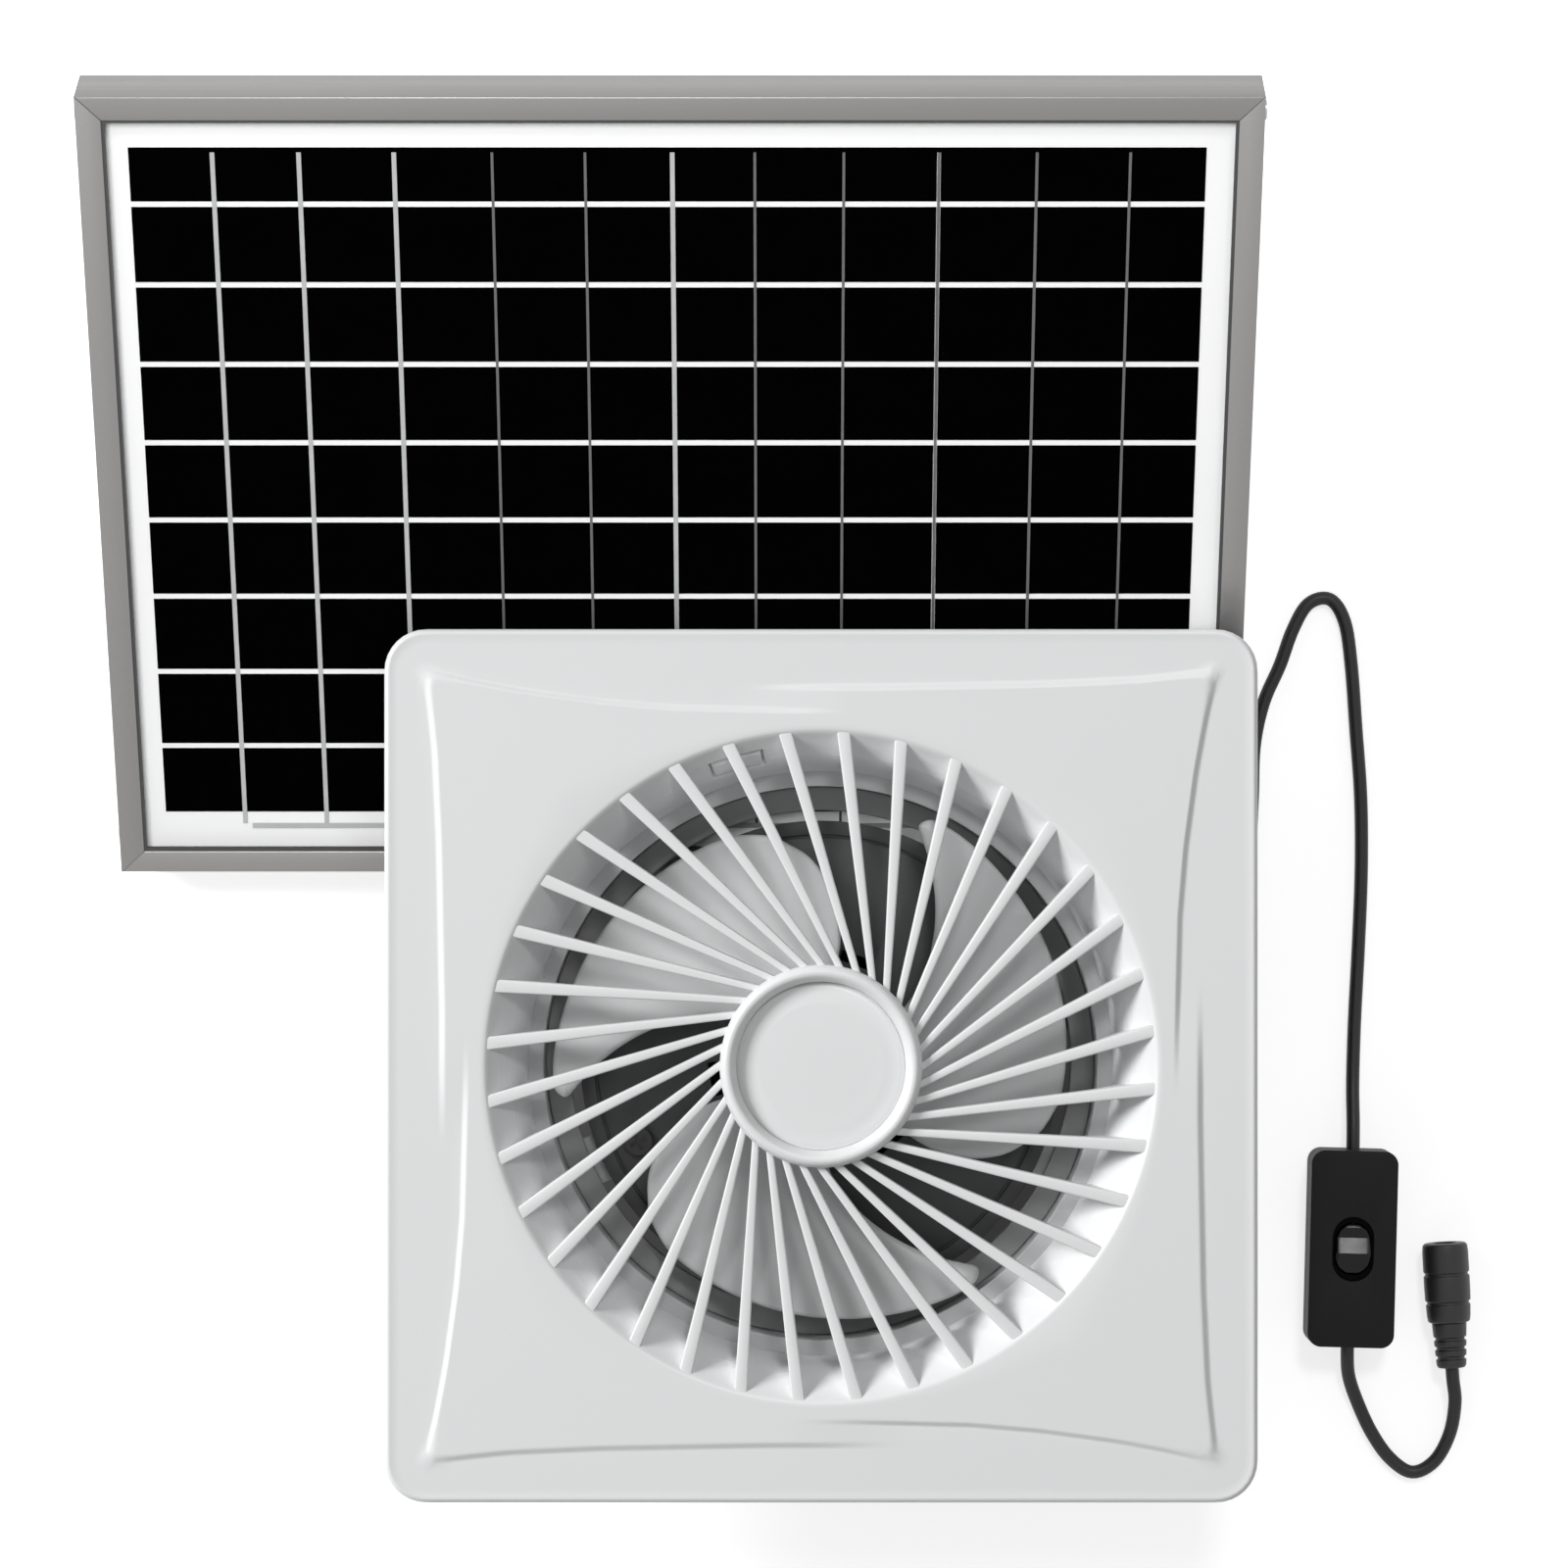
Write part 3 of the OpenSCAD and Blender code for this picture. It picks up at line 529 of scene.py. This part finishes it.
def blade():
    """One blade between its two edges, with rows that close up towards the tip."""
    tip_rows = 77.58 - 11.58 * np.linspace(1, 0, 54) ** 1.6
    radii = np.unique(np.concatenate([np.linspace(24.6, 66, 34), tip_rows]))
    front = np.radians(np.interp(radii, *zip(*front_edge)))
    back = np.radians(np.interp(radii, *zip(*back_edge)))
    for _ in range(2):
        front[1:-1] = (front[:-2] + 2 * front[1:-1] + front[2:]) / 4
        back[1:-1] = (back[:-2] + 2 * back[1:-1] + back[2:]) / 4
    edge_rows = [0.002, 0.006, 0.012, 0.02, 0.98, 0.988, 0.994, 0.998]
    share = np.unique(np.concatenate([np.linspace(0, 1, 44), edge_rows]))
    angle = back[:, None] + (front - back)[:, None] * share
    x, y = radii[:, None] * np.cos(angle), radii[:, None] * np.sin(angle)

    def away(column):
        """How far each point is from one edge of the blade."""
        line = np.stack([x[:, column], y[:, column]], 1)
        a = line[:-1]
        d = line[1:] - a
        p = np.stack([x, y], -1)[:, :, None, :] - a
        k = np.clip((p * d).sum(-1) / np.maximum((d * d).sum(-1), 1e-9), 0, 1)
        return np.sqrt(((p - k[..., None] * d) ** 2).sum(-1)).min(-1)

    from_front, from_back = away(-1), away(0)
    rim = np.minimum(np.minimum(from_front, from_back), edge_soft) / edge_soft
    half = blade_half * np.sqrt(np.maximum(1 - (1 - rim) ** 2, 0))
    half[:, 0] = half[:, -1] = 0
    tilt_way = math.radians(26)
    rise = blade_tilt * (-math.sin(tilt_way) * x + math.cos(tilt_way) * y)
    roll = roll_deep * np.clip(1 - from_front / roll_wide, 0, 1) ** 2
    middle = blade_height + rise - roll
    work = bmesh.new()
    sides = []
    for z in (middle + half, middle - half):
        sides.append([[work.verts.new((x[i, j] / 1000, y[i, j] / 1000, z[i, j] / 1000))
            for j in range(len(share))] for i in range(len(radii))])
    for side in sides:
        for a, b in zip(side, side[1:]):
            for j in range(len(share) - 1):
                work.faces.new((a[j], b[j], b[j + 1], a[j + 1]))
    for j in range(len(share) - 1):
        for i in (0, -1):
            work.faces.new((sides[0][i][j], sides[0][i][j + 1], sides[1][i][j + 1], sides[1][i][j]))
    bmesh.ops.remove_doubles(work, verts=work.verts, dist=2e-6)
    bmesh.ops.recalc_face_normals(work, faces=work.faces)
    mesh = bpy.data.meshes.new("blade")
    work.to_mesh(mesh)
    work.free()
    return mesh


def grown(name, mesh, tree, values):
    """The plain mesh that a node tree makes of a shape."""
    holder = bpy.data.objects.new(name, mesh)
    bpy.context.scene.collection.objects.link(holder)
    maker = holder.modifiers.new("maker", "NODES")
    maker.node_group = tree
    for item in tree.interface.items_tree:
        if item.in_out == "INPUT" and item.name in values:
            maker[item.identifier] = values[item.name]
    graph = bpy.context.evaluated_depsgraph_get()
    made = bpy.data.meshes.new_from_object(holder.evaluated_get(graph))
    holder.modifiers.remove(maker)
    bpy.data.objects.remove(holder)
    return made


def copier(name, sizes):
    """A node tree that takes a shape, a finish and named sizes."""
    tree = bpy.data.node_groups.new(name, "GeometryNodeTree")
    for socket, kind in {"Shape": "Geometry", **sizes, "Finish": "Material"}.items():
        tree.interface.new_socket(socket, in_out="INPUT", socket_type="NodeSocket" + kind)
    tree.interface.new_socket("Set", in_out="OUTPUT", socket_type="NodeSocketGeometry")
    return tree, tree.nodes.new("NodeGroupInput"), tree.nodes.new("GeometryNodeMeshLine")


def copied(tree, given, row, turn=None):
    """Sets the shape on each point of the row, as one real mesh in the finish."""
    place = tree.nodes.new("GeometryNodeInstanceOnPoints")
    real = tree.nodes.new("GeometryNodeRealizeInstances")
    coat = tree.nodes.new("GeometryNodeSetMaterial")
    tree.links.new(row.outputs[0], place.inputs["Points"])
    tree.links.new(given.outputs["Shape"], place.inputs["Instance"])
    if turn is not None:
        tree.links.new(turn, place.inputs["Rotation"])
    tree.links.new(place.outputs[0], real.inputs[0])
    tree.links.new(real.outputs[0], coat.inputs["Geometry"])
    tree.links.new(given.outputs["Finish"], coat.inputs["Material"])
    tree.links.new(coat.outputs[0], tree.nodes.new("NodeGroupOutput").inputs[0])


def set_round(name, mesh, finish, copies, start):
    """Copies of one shape, set evenly round the fan's axis."""
    tree, given, row = copier("set_round", {"Copies": "Int", "Start angle": "Float"})
    row.inputs["Offset"].default_value = (0, 0, 0)
    tree.links.new(given.outputs["Copies"], row.inputs["Count"])
    step = tree.nodes.new("ShaderNodeMath")
    step.operation = "DIVIDE"
    step.inputs[0].default_value = math.tau
    tree.links.new(given.outputs["Copies"], step.inputs[1])
    turn = tree.nodes.new("ShaderNodeMath")
    turn.operation = "MULTIPLY_ADD"
    tree.links.new(tree.nodes.new("GeometryNodeInputIndex").outputs[0], turn.inputs[0])
    tree.links.new(step.outputs[0], turn.inputs[1])
    tree.links.new(given.outputs["Start angle"], turn.inputs[2])
    spin = tree.nodes.new("ShaderNodeCombineXYZ")
    tree.links.new(turn.outputs[0], spin.inputs["Z"])
    copied(tree, given, row, spin.outputs[0])
    return grown(name, mesh, tree,
        {"Copies": copies, "Start angle": math.radians(start), "Finish": finish.material})


blade_grey = Finish("blade_grey", (0.7, 0.704, 0.708), 0.36)
blade_cloud = blade_grey.noise(28.0, 3.0)
blade_grey.tint(blade_cloud * 0.35, (0.62, 0.624, 0.628))
blade_grey.rough(blade_cloud * 0.2 + 0.28)
blade_grey.bump(blade_grey.noise(500.0, 2.0), 0.00003, 0.5)
blades = set_round("blades", blade(), blade_grey, 3, 0)
keep("blades", blades, blade_grey, "rotor", "white_plastic", "impeller")
keep("impeller_hub", turned("impeller_hub", rounded([(2.5, 35.5), (8, 35.5), (8, 54), (23, 54), (23, 37),
    (25, 37), (25, 57), (2.5, 57)], 0.8)), blade_grey, "rotor", "white_plastic")
dressed(plated, "shaft", "impeller_nut", "shaft_collar")
ferrite = Finish("ferrite", (0.05, 0.05, 0.055), 0.6)
ferrite.tint(ferrite.noise(500.0, 3.0) * 0.5, (0.08, 0.08, 0.085))
dressed(ferrite, "rotor_magnet")


# ---- Front cover ----
# One satin white moulding that clips over the base: a square plate with a raised field
# whose edge curves in along each side, and a bell that narrows to the impeller. A thin
# groove in the bell outlines the window of one clip.
cover_white = Finish("cover_white", (0.79, 0.795, 0.80), 0.34)
cover_cloud = cover_white.noise(9.0, 3.0)
cover_white.tint(cover_cloud * 0.25, (0.74, 0.745, 0.755))
cover_white.rough(cover_cloud * 0.14 + 0.28)
cover_white.bump(cover_white.noise(650.0, 2.0), 0.00002, 0.35)
plate_half, plate_round, face_z, rim_soft = 125.0, 12.0, 68.0, 1.8
clip_angle, clip_half_angle, clip_height, clip_half_tall = 105.5, 5.2, 61.0, 3.0
degree_long, groove_deep, groove_half = 1.54, 2.2, 0.6  # one degree is 1.54 mm along the bell's wall
bell = np.array([(84.5, 49), (84.6, 50.5), (85.1, 52.5), (85.8, 54.5), (86.7, 56.5), (87.8, 58.5), (89, 60.4),
    (90.5, 62.2), (92.1, 64.0), (93.6, 65.5), (94.6, 66.5), (95.2, 67.1), (95.7, 67.5), (96.3, 67.85),
    (97.2, 68.0)])
inner_line = ((-112.5, 101.5), (-10, 101.5), (8, 101.7), (43, 102.6), (63, 104.3), (85, 107.3),
    (99, 109.9), (112.5, 112.9))
outer_line = ((-112.5, 112.9), (-90, 110.5), (-64, 109.3), (-16, 108.4), (30, 108.4), (112.5, 108.4))


def side_of(angle):
    """The angle from the middle of the plate's nearest side."""
    return (angle + math.pi / 4) % (math.pi / 2) - math.pi / 4


def edge_radius(angle, inset):
    """How far the rounded square's edge is from the axis."""
    off = np.abs(side_of(angle))
    half, corner = plate_half - inset, max(plate_round - inset, 0.4)
    flat = half / np.cos(off)
    middle = half - corner
    along = middle * (np.cos(off) + np.sin(off))
    arc = along + np.sqrt(np.maximum(along ** 2 - 2 * middle ** 2 + corner ** 2, 0))
    return np.where(flat * np.sin(off) <= middle, flat, arc)


def crossing(angle, line):
    """Where a ray from the axis meets a line along the side."""
    off = side_of(angle)
    reach = 108 / np.cos(off)
    for _ in range(30):
        reach = np.interp(reach * np.sin(off), *zip(*line)) / np.cos(off)
    return reach


def smooth(level):
    level = np.clip(level, 0, 1)
    return level * level * (3 - 2 * level)


def raised(x, y):
    """1 on the raised field, 0 on the margin round it."""
    angle = np.arctan2(y, x)
    off, reach = side_of(angle), np.hypot(x, y)
    u, v = reach * np.sin(off), reach * np.cos(off)
    near = smooth((np.interp(u, *zip(*inner_line)) - v) / 1.9 + 0.5)
    far = smooth((np.interp(u, *zip(*outer_line)) - v) / 2.2 + 0.5)
    blend = smooth((u + 10) / 35)
    return blend * near + (1 - blend) * far


def cover_mesh():
    """Rows from the bell's throat, up and over the face, round the rim and back inside."""
    angles = np.unique(np.concatenate([np.linspace(0, math.tau, 480, endpoint=False),
        np.radians(np.linspace(99.5, 112.5, 90))]))

    def level(radius, height):
        return radius, np.full_like(angles, height)

    def ring(radius, height):
        return level(np.full_like(angles, radius), height)

    first, last = crossing(angles, inner_line), crossing(angles, outer_line)
    near = np.minimum(first, last) - 2.2
    far = np.maximum(first, last) + 2.2
    for _ in range(3):
        near = (np.roll(near, 1) + near + np.roll(near, -1)) / 3
        far = (np.roll(far, 1) + far + np.roll(far, -1)) / 3
    near = np.maximum(near, 98.2)
    far = np.minimum(far, edge_radius(angles, 3.2))
    along = np.linspace(0, 1, len(bell))
    clip_rows = np.interp(np.arange(57.4, 64.8, 0.24), bell[:, 1], along)
    steps = np.unique(np.concatenate([np.linspace(0, 1, 30), clip_rows]))
    deep, tall = np.interp(steps, along, bell[:, 0]), np.interp(steps, along, bell[:, 1])
    rows = []
    across = np.abs(np.degrees(angles) - clip_angle)
    for r, z in zip(deep, tall):
        up = abs(z - clip_height)
        from_edge = np.minimum((clip_half_angle - across) * degree_long, clip_half_tall - up)
        gap = np.where((across <= clip_half_angle) & (up <= clip_half_tall), from_edge, -1)
        groove = groove_deep * smooth(1 - np.abs(gap - groove_half) / groove_half)
        rows.append(level(np.full_like(angles, r) + groove, z))
    for share in np.linspace(0, 1, 5)[1:]:
        rows.append((97.2 + (near - 97.2) * share, None))
    for share in np.linspace(0, 1, 40)[1:]:
        rows.append((near + (far - near) * share, None))
    last_flat = edge_radius(angles, rim_soft)
    for share in np.linspace(0, 1, 6)[1:]:
        rows.append((far + (last_flat - far) * share, None))
    for step in range(1, 7):
        turn = math.radians(15 * step)
        rows.append(level(edge_radius(angles, rim_soft * (1 - math.sin(turn))),
            67.2 - rim_soft * (1 - math.cos(turn))))
    for inset, height in ((0, 60.0), (0, 58.2), (0.4, 58.0), (2.0, 58.0), (2.0, 65.2)):
        rows.append(level(edge_radius(angles, inset), height))
    rows.append(ring(99.4, 65.4))
    for r, z in bell[::-1][3:]:
        rows.append(ring(r + 1.9, max(z - 0.9, 49.0)))
    points, count = [], len(angles)
    for r, z in rows:
        x, y = r * np.cos(angles), r * np.sin(angles)
        if z is None:
            z = face_z - smooth((r - 97.2) / 3.0) * (1 - raised(x, y))
        points.append(np.stack([x, y, z], 1))
    points = np.concatenate(points) / 1000
    faces = []
    for i in range(len(rows)):
        k = (i + 1) % len(rows)
        for j in range(count):
            m = (j + 1) % count
            faces.append((i * count + j, k * count + j, k * count + m, i * count + m))
    mesh = bpy.data.meshes.new("cover_shell")
    mesh.from_pydata(points.tolist(), [], faces)
    work = bmesh.new()
    work.from_mesh(mesh)
    bmesh.ops.remove_doubles(work, verts=work.verts, dist=1e-7)
    bmesh.ops.recalc_face_normals(work, faces=work.faces)
    work.to_mesh(mesh)
    work.free()
    return mesh


keep("cover_shell", cover_mesh(), cover_white, "cover", "white_plastic", "cover_plate", angle=50)


# ---- Grille ----
# Thirty-six straight ribs slant past a round hub ring. Each ends in a fin that runs
# down the bell, and a shallow disc closes the hub.
def rib():
    """One rib and its fin, seen from the side and given its thickness."""
    offset, root, top, under = 17.4, 21.5, 67.5, 62.0
    side = [(root, top), (60.0, top), (88.0, top)]
    for z in np.linspace(top, 53.0, 14):
        reach = np.interp(z, bell[:, 1], bell[:, 0]) + 0.7
        side.append((math.sqrt(reach * reach - offset * offset), float(z)))
    side += [(82.2, 55.6), (80.8, 58.0), (78.6, 60.2), (75.5, 61.5), (71.0, under), (root, under)]
    work = bmesh.new()
    flanks = []
    for hand in (-1, 1):
        flanks.append([work.verts.new(((offset + hand * (1 + 0.9 * (y - root) / 73)) / 1000,
            y / 1000, z / 1000)) for y, z in side])
    work.faces.new(flanks[0])
    work.faces.new(flanks[1][::-1])
    for i in range(len(side)):
        work.faces.new((flanks[0][i - 1], flanks[1][i - 1], flanks[1][i], flanks[0][i]))
    bmesh.ops.recalc_face_normals(work, faces=work.faces)
    crests = [e for e in work.edges if abs(e.verts[0].co.x - e.verts[1].co.x) < 0.0015
        and len(e.link_faces) == 2 and e.calc_face_angle(0) > 1.2]
    bmesh.ops.bevel(work, geom=crests, offset=0.0005, segments=3, profile=0.5,
        affect="EDGES", clamp_overlap=True)
    mesh = bpy.data.meshes.new("rib")
    work.to_mesh(mesh)
    work.free()
    return mesh


ribs = set_round("ribs", rib(), cover_white, 36, 6.6)
keep("ribs", ribs, cover_white, "cover", "white_plastic", "cover_grille")
keep("hub_ring", turned("hub_ring", rounded([(23.9, 61.5), (28.2, 61.5), (29, 62.6), (29, 68.6), (28.3, 70.2),
    (27.2, 70.95), (26.0, 70.8), (24.9, 69.6), (24.2, 68)], 0.7)), cover_white, "cover", "white_plastic")
keep("hub_disc_dish", turned("hub_disc_dish", rounded([(0, 67.4), (10, 67.35), (18, 67.2), (22.6, 66.8),
    (24.1, 66.3), (24.1, 63.6), (0, 63.6)], 0.3)), cover_white, "cover", "white_plastic", "hub_disc")


# ---- Panel frame ----
# Four mitred bars of satin anodised aluminium, screwed to keys in the corners. A front
# lip holds the laminate in a black seal.
tilt, panel_wide, panel_long, frame_deep = math.radians(28.3), 328.0, 244.0, 17.0
on_panel = (Matrix.Translation((-0.042, 0.0547, frame_deep * math.cos(tilt) / 1000))
    @ Matrix.Rotation(tilt, 4, "X"))


def anodised(name, stretch):
    """Aluminium with fine streaks along the bar."""
    finish = Finish(name, (0.25, 0.245, 0.242), 0.36, Metallic=0.7)
    streak = finish.noise(1.0, 3.0, stretch)
    finish.tint(streak * 0.4, (0.215, 0.21, 0.207))
    finish.rough(streak * 0.18 + 0.32)
    finish.bump(streak, 0.00003, 0.5)
    return finish


anodised_across = anodised("anodised_across", (12.0, 1500.0, 1500.0))
anodised_up = anodised("anodised_up", (1500.0, 12.0, 1500.0))
for bar in ("frame_bottom", "frame_top"):
    eased(bar, anodised_across, "panel", "anodised", 0.35, 2)
for bar in ("frame_left", "frame_right"):
    eased(bar, anodised_up, "panel", "anodised", 0.35, 2)
dressed(plated, "corner_keys", "frame_screws")


def block(low, high):
    """A flat-sided block from one corner to the other, in millimetres."""
    work = bmesh.new()
    bmesh.ops.create_cube(work, size=1.0)
    for v in work.verts:
        v.co = Vector([(a + b) / 2 + c * (b - a) for a, b, c in zip(low, high, v.co)]) / 1000
    mesh = bpy.data.meshes.new("block")
    work.to_mesh(mesh)
    work.free()
    return mesh


def joined(name, meshes):
    """One mesh of several."""
    work = bmesh.new()
    for mesh in meshes:
        work.from_mesh(mesh)
    mesh = bpy.data.meshes.new(name)
    work.to_mesh(mesh)
    work.free()
    return mesh


seal = Finish("edge_seal", (0.04, 0.04, 0.041), 0.6)
seal.bump(seal.noise(600.0, 2.0), 0.00005, 0.5)
dressed(seal, "edge_seal")
lip_wide, bead = 7.0, 0.9
inner_x, inner_s = panel_wide / 2 - lip_wide, (lip_wide, panel_long - lip_wide)
seal_mesh = joined("seal_bead", [
    block((-inner_x, inner_s[0], -1.5), (inner_x, inner_s[0] + bead, -0.7)),
    block((-inner_x, inner_s[1] - bead, -1.5), (inner_x, inner_s[1], -0.7)),
    block((-inner_x, inner_s[0] + bead, -1.5), (bead - inner_x, inner_s[1] - bead, -0.7)),
    block((inner_x - bead, inner_s[0] + bead, -1.5), (inner_x, inner_s[1] - bead, -0.7))])
seal_mesh.transform(on_panel)
keep("seal_bead", seal_mesh, seal, "panel", "black_rubber")


# ---- Laminate ----
# Tempered glass over four columns of black cells on a white backsheet. Tinned ribbons
# run up the cells and meet a bus ribbon along the bottom.
def laid_out(name, mesh, finish, rows, pitch):
    """Copies of one shape in a row up the panel."""
    tree, given, row = copier("laid_out", {"Rows": "Int", "Row pitch": "Float"})
    pace = tree.nodes.new("ShaderNodeCombineXYZ")
    tree.links.new(given.outputs["Row pitch"], pace.inputs["Y"])
    tree.links.new(given.outputs["Rows"], row.inputs["Count"])
    tree.links.new(pace.outputs[0], row.inputs["Offset"])
    copied(tree, given, row)
    return grown(name, mesh, tree, {"Rows": rows, "Row pitch": pitch / 1000, "Finish": finish.material})


cell_black = Finish("cell_black", (0.0005, 0.0005, 0.0006), 0.5, Specular_IOR_Level=0.0)
cell_black.tint(cell_black.noise(70.0, 2.0) * 0.5, (0.0012, 0.0012, 0.0016))
cell_black.rough(cell_black.noise(1200.0, 2.0) * 0.15 + 0.4)
lines_low, line_pitch, row_count, cell_gap = 39.7, 24.371, 7, 1.75
first_row, top_row = 17.8, 227.2
column_edges = (-151.0, -76.8, 0.4, 74.4, 149.1)
cell_back, cell_face = -5.0, -4.72
for name, low, high, rows in (
    ("cells_whole", lines_low + cell_gap / 2, lines_low + line_pitch - cell_gap / 2, row_count),
    ("cells_low", first_row, lines_low - cell_gap / 2, 1),
    ("cells_high", lines_low + line_pitch * row_count + cell_gap / 2, top_row, 1),
):
    columns = []
    for left, right in zip(column_edges, column_edges[1:]):
        shape = block((left + 0.55, low, cell_back), (right - 0.55, high, cell_face))
        columns.append(laid_out(name, shape, cell_black, rows, line_pitch))
    mesh = joined(name, columns)
    mesh.transform(on_panel)
    keep(name, mesh, cell_black, "panel", "cell_black", *(["cells"] if rows > 1 else []))
edge_strip = block((column_edges[0] + 1, top_row - 1.3, cell_back),
    (column_edges[-1] - 1, top_row - 0.02, -4.6))
edge_strip.transform(on_panel)
keep("cell_strip", edge_strip, cell_black, "panel", "cell_black")

tinned = Finish("tinned_ribbon", (0.52, 0.525, 0.53), 0.45, Metallic=0.3)
tinned.tint(tinned.noise(120.0, 3.0) * 0.7, (0.34, 0.345, 0.35))
tinned.rough(tinned.noise(400.0, 2.0) * 0.3 + 0.3)
dull = Finish("dull_ribbon", (0.13, 0.131, 0.133), 0.5, Metallic=0.2)
dull.tint(dull.noise(120.0, 3.0) * 0.6, (0.09, 0.091, 0.093))
tinned_lines, dull_lines = [], []
for x, wide in ((-127.2, 1.3), (-103.2, 1.3), (-76.8, 1.3), (-49.6, 0.75), (-23.8, 0.75), (0.4, 1.3),
        (23.3, 0.75), (48.0, 0.75), (74.4, 0.8), (101.6, 0.8), (127.5, 0.75)):
    low = first_row if x in column_edges else 14.0
    lines = tinned_lines if wide > 1 else dull_lines
    lines.append(block((x - wide / 2, low, cell_face), (x + wide / 2, top_row - 1.35, -4.55)))
tinned_mesh = joined("ribbon_lines", tinned_lines)
tinned_mesh.transform(on_panel)
keep("ribbon_lines", tinned_mesh, tinned, "panel", "ribbon_metal", "ribbons")
dull_mesh = joined("ribbon_lines_dull", dull_lines)
dull_mesh.transform(on_panel)
keep("ribbon_lines_dull", dull_mesh, dull, "panel", "ribbon_metal")
dressed(tinned, "bus_ribbon")
backing = Finish("backsheet_white", (0.94, 0.942, 0.945), 0.6)
backing.tint(backing.noise(30.0, 3.0) * 0.3, (0.9, 0.902, 0.905))
backing.rough(backing.noise(200.0, 2.0) * 0.2 + 0.5)
dressed(backing, "backsheet")
panel_pieces += [nodes["backsheet"], nodes["bus_ribbon"], nodes["edge_seal"]]
clear = Finish("clear_glass", (0.002, 0.0021, 0.0021), 0.06, Alpha=0.02, Specular_IOR_Level=0.0)
clear.rough(clear.noise(12.0, 2.0) * 0.03 + 0.04)
dressed(clear, "glass")


# ---- Junction box ----
# A black box with a clipped lid is glued to the back of the laminate. Inside are a
# blocking diode and two brass terminals, and a small gland faces down.
eased("box_base", gland_nylon, "panel", "black_plastic", 0.5, 2)
eased("box_lid", gland_nylon, "panel", "black_plastic", 0.5, 2)
eased("box_gland", gland_nylon, "panel", "black_plastic", 0.25, 2)
dressed(pod_dark, "box_diode")
dressed(brass, "box_terminals")


# ---- Stay ----
# A hoop of bent steel rod folds out of the frame and props the panel up. It turns on
# its own ends in the side bars, and two rubber sleeves keep it from slipping.
stay_zinc = Finish("stay_zinc", (0.5, 0.505, 0.51), 0.38, Metallic=0.9)
stay_zinc.tint(stay_zinc.noise(160.0, 4.0) * 0.6, (0.38, 0.385, 0.39))
stay_zinc.rough(stay_zinc.noise(300.0, 3.0) * 0.25 + 0.28)
dressed(stay_zinc, "stay_leg_left", "stay_leg_right", "stay_crossbar", "stay_clips")
eased("stay_feet", seal, "stay", "black_rubber", 0.5, 2)


# ---- Light on the panel ----
# The panel and the fan are not lit alike. The panel has a lamp of its own above it, which
# lights nothing else, and the window's light is kept off the panel.
for lamp, state in (("panel_lamp", "INCLUDE"), ("window", "EXCLUDE")):
    lit = bpy.data.collections.new(lamp + "_reach")
    for piece in panel_pieces:
        lit.objects.link(piece)
    for item in lit.collection_objects:
        item.light_linking.link_state = state
    lamps[lamp].light_linking.receiver_collection = lit
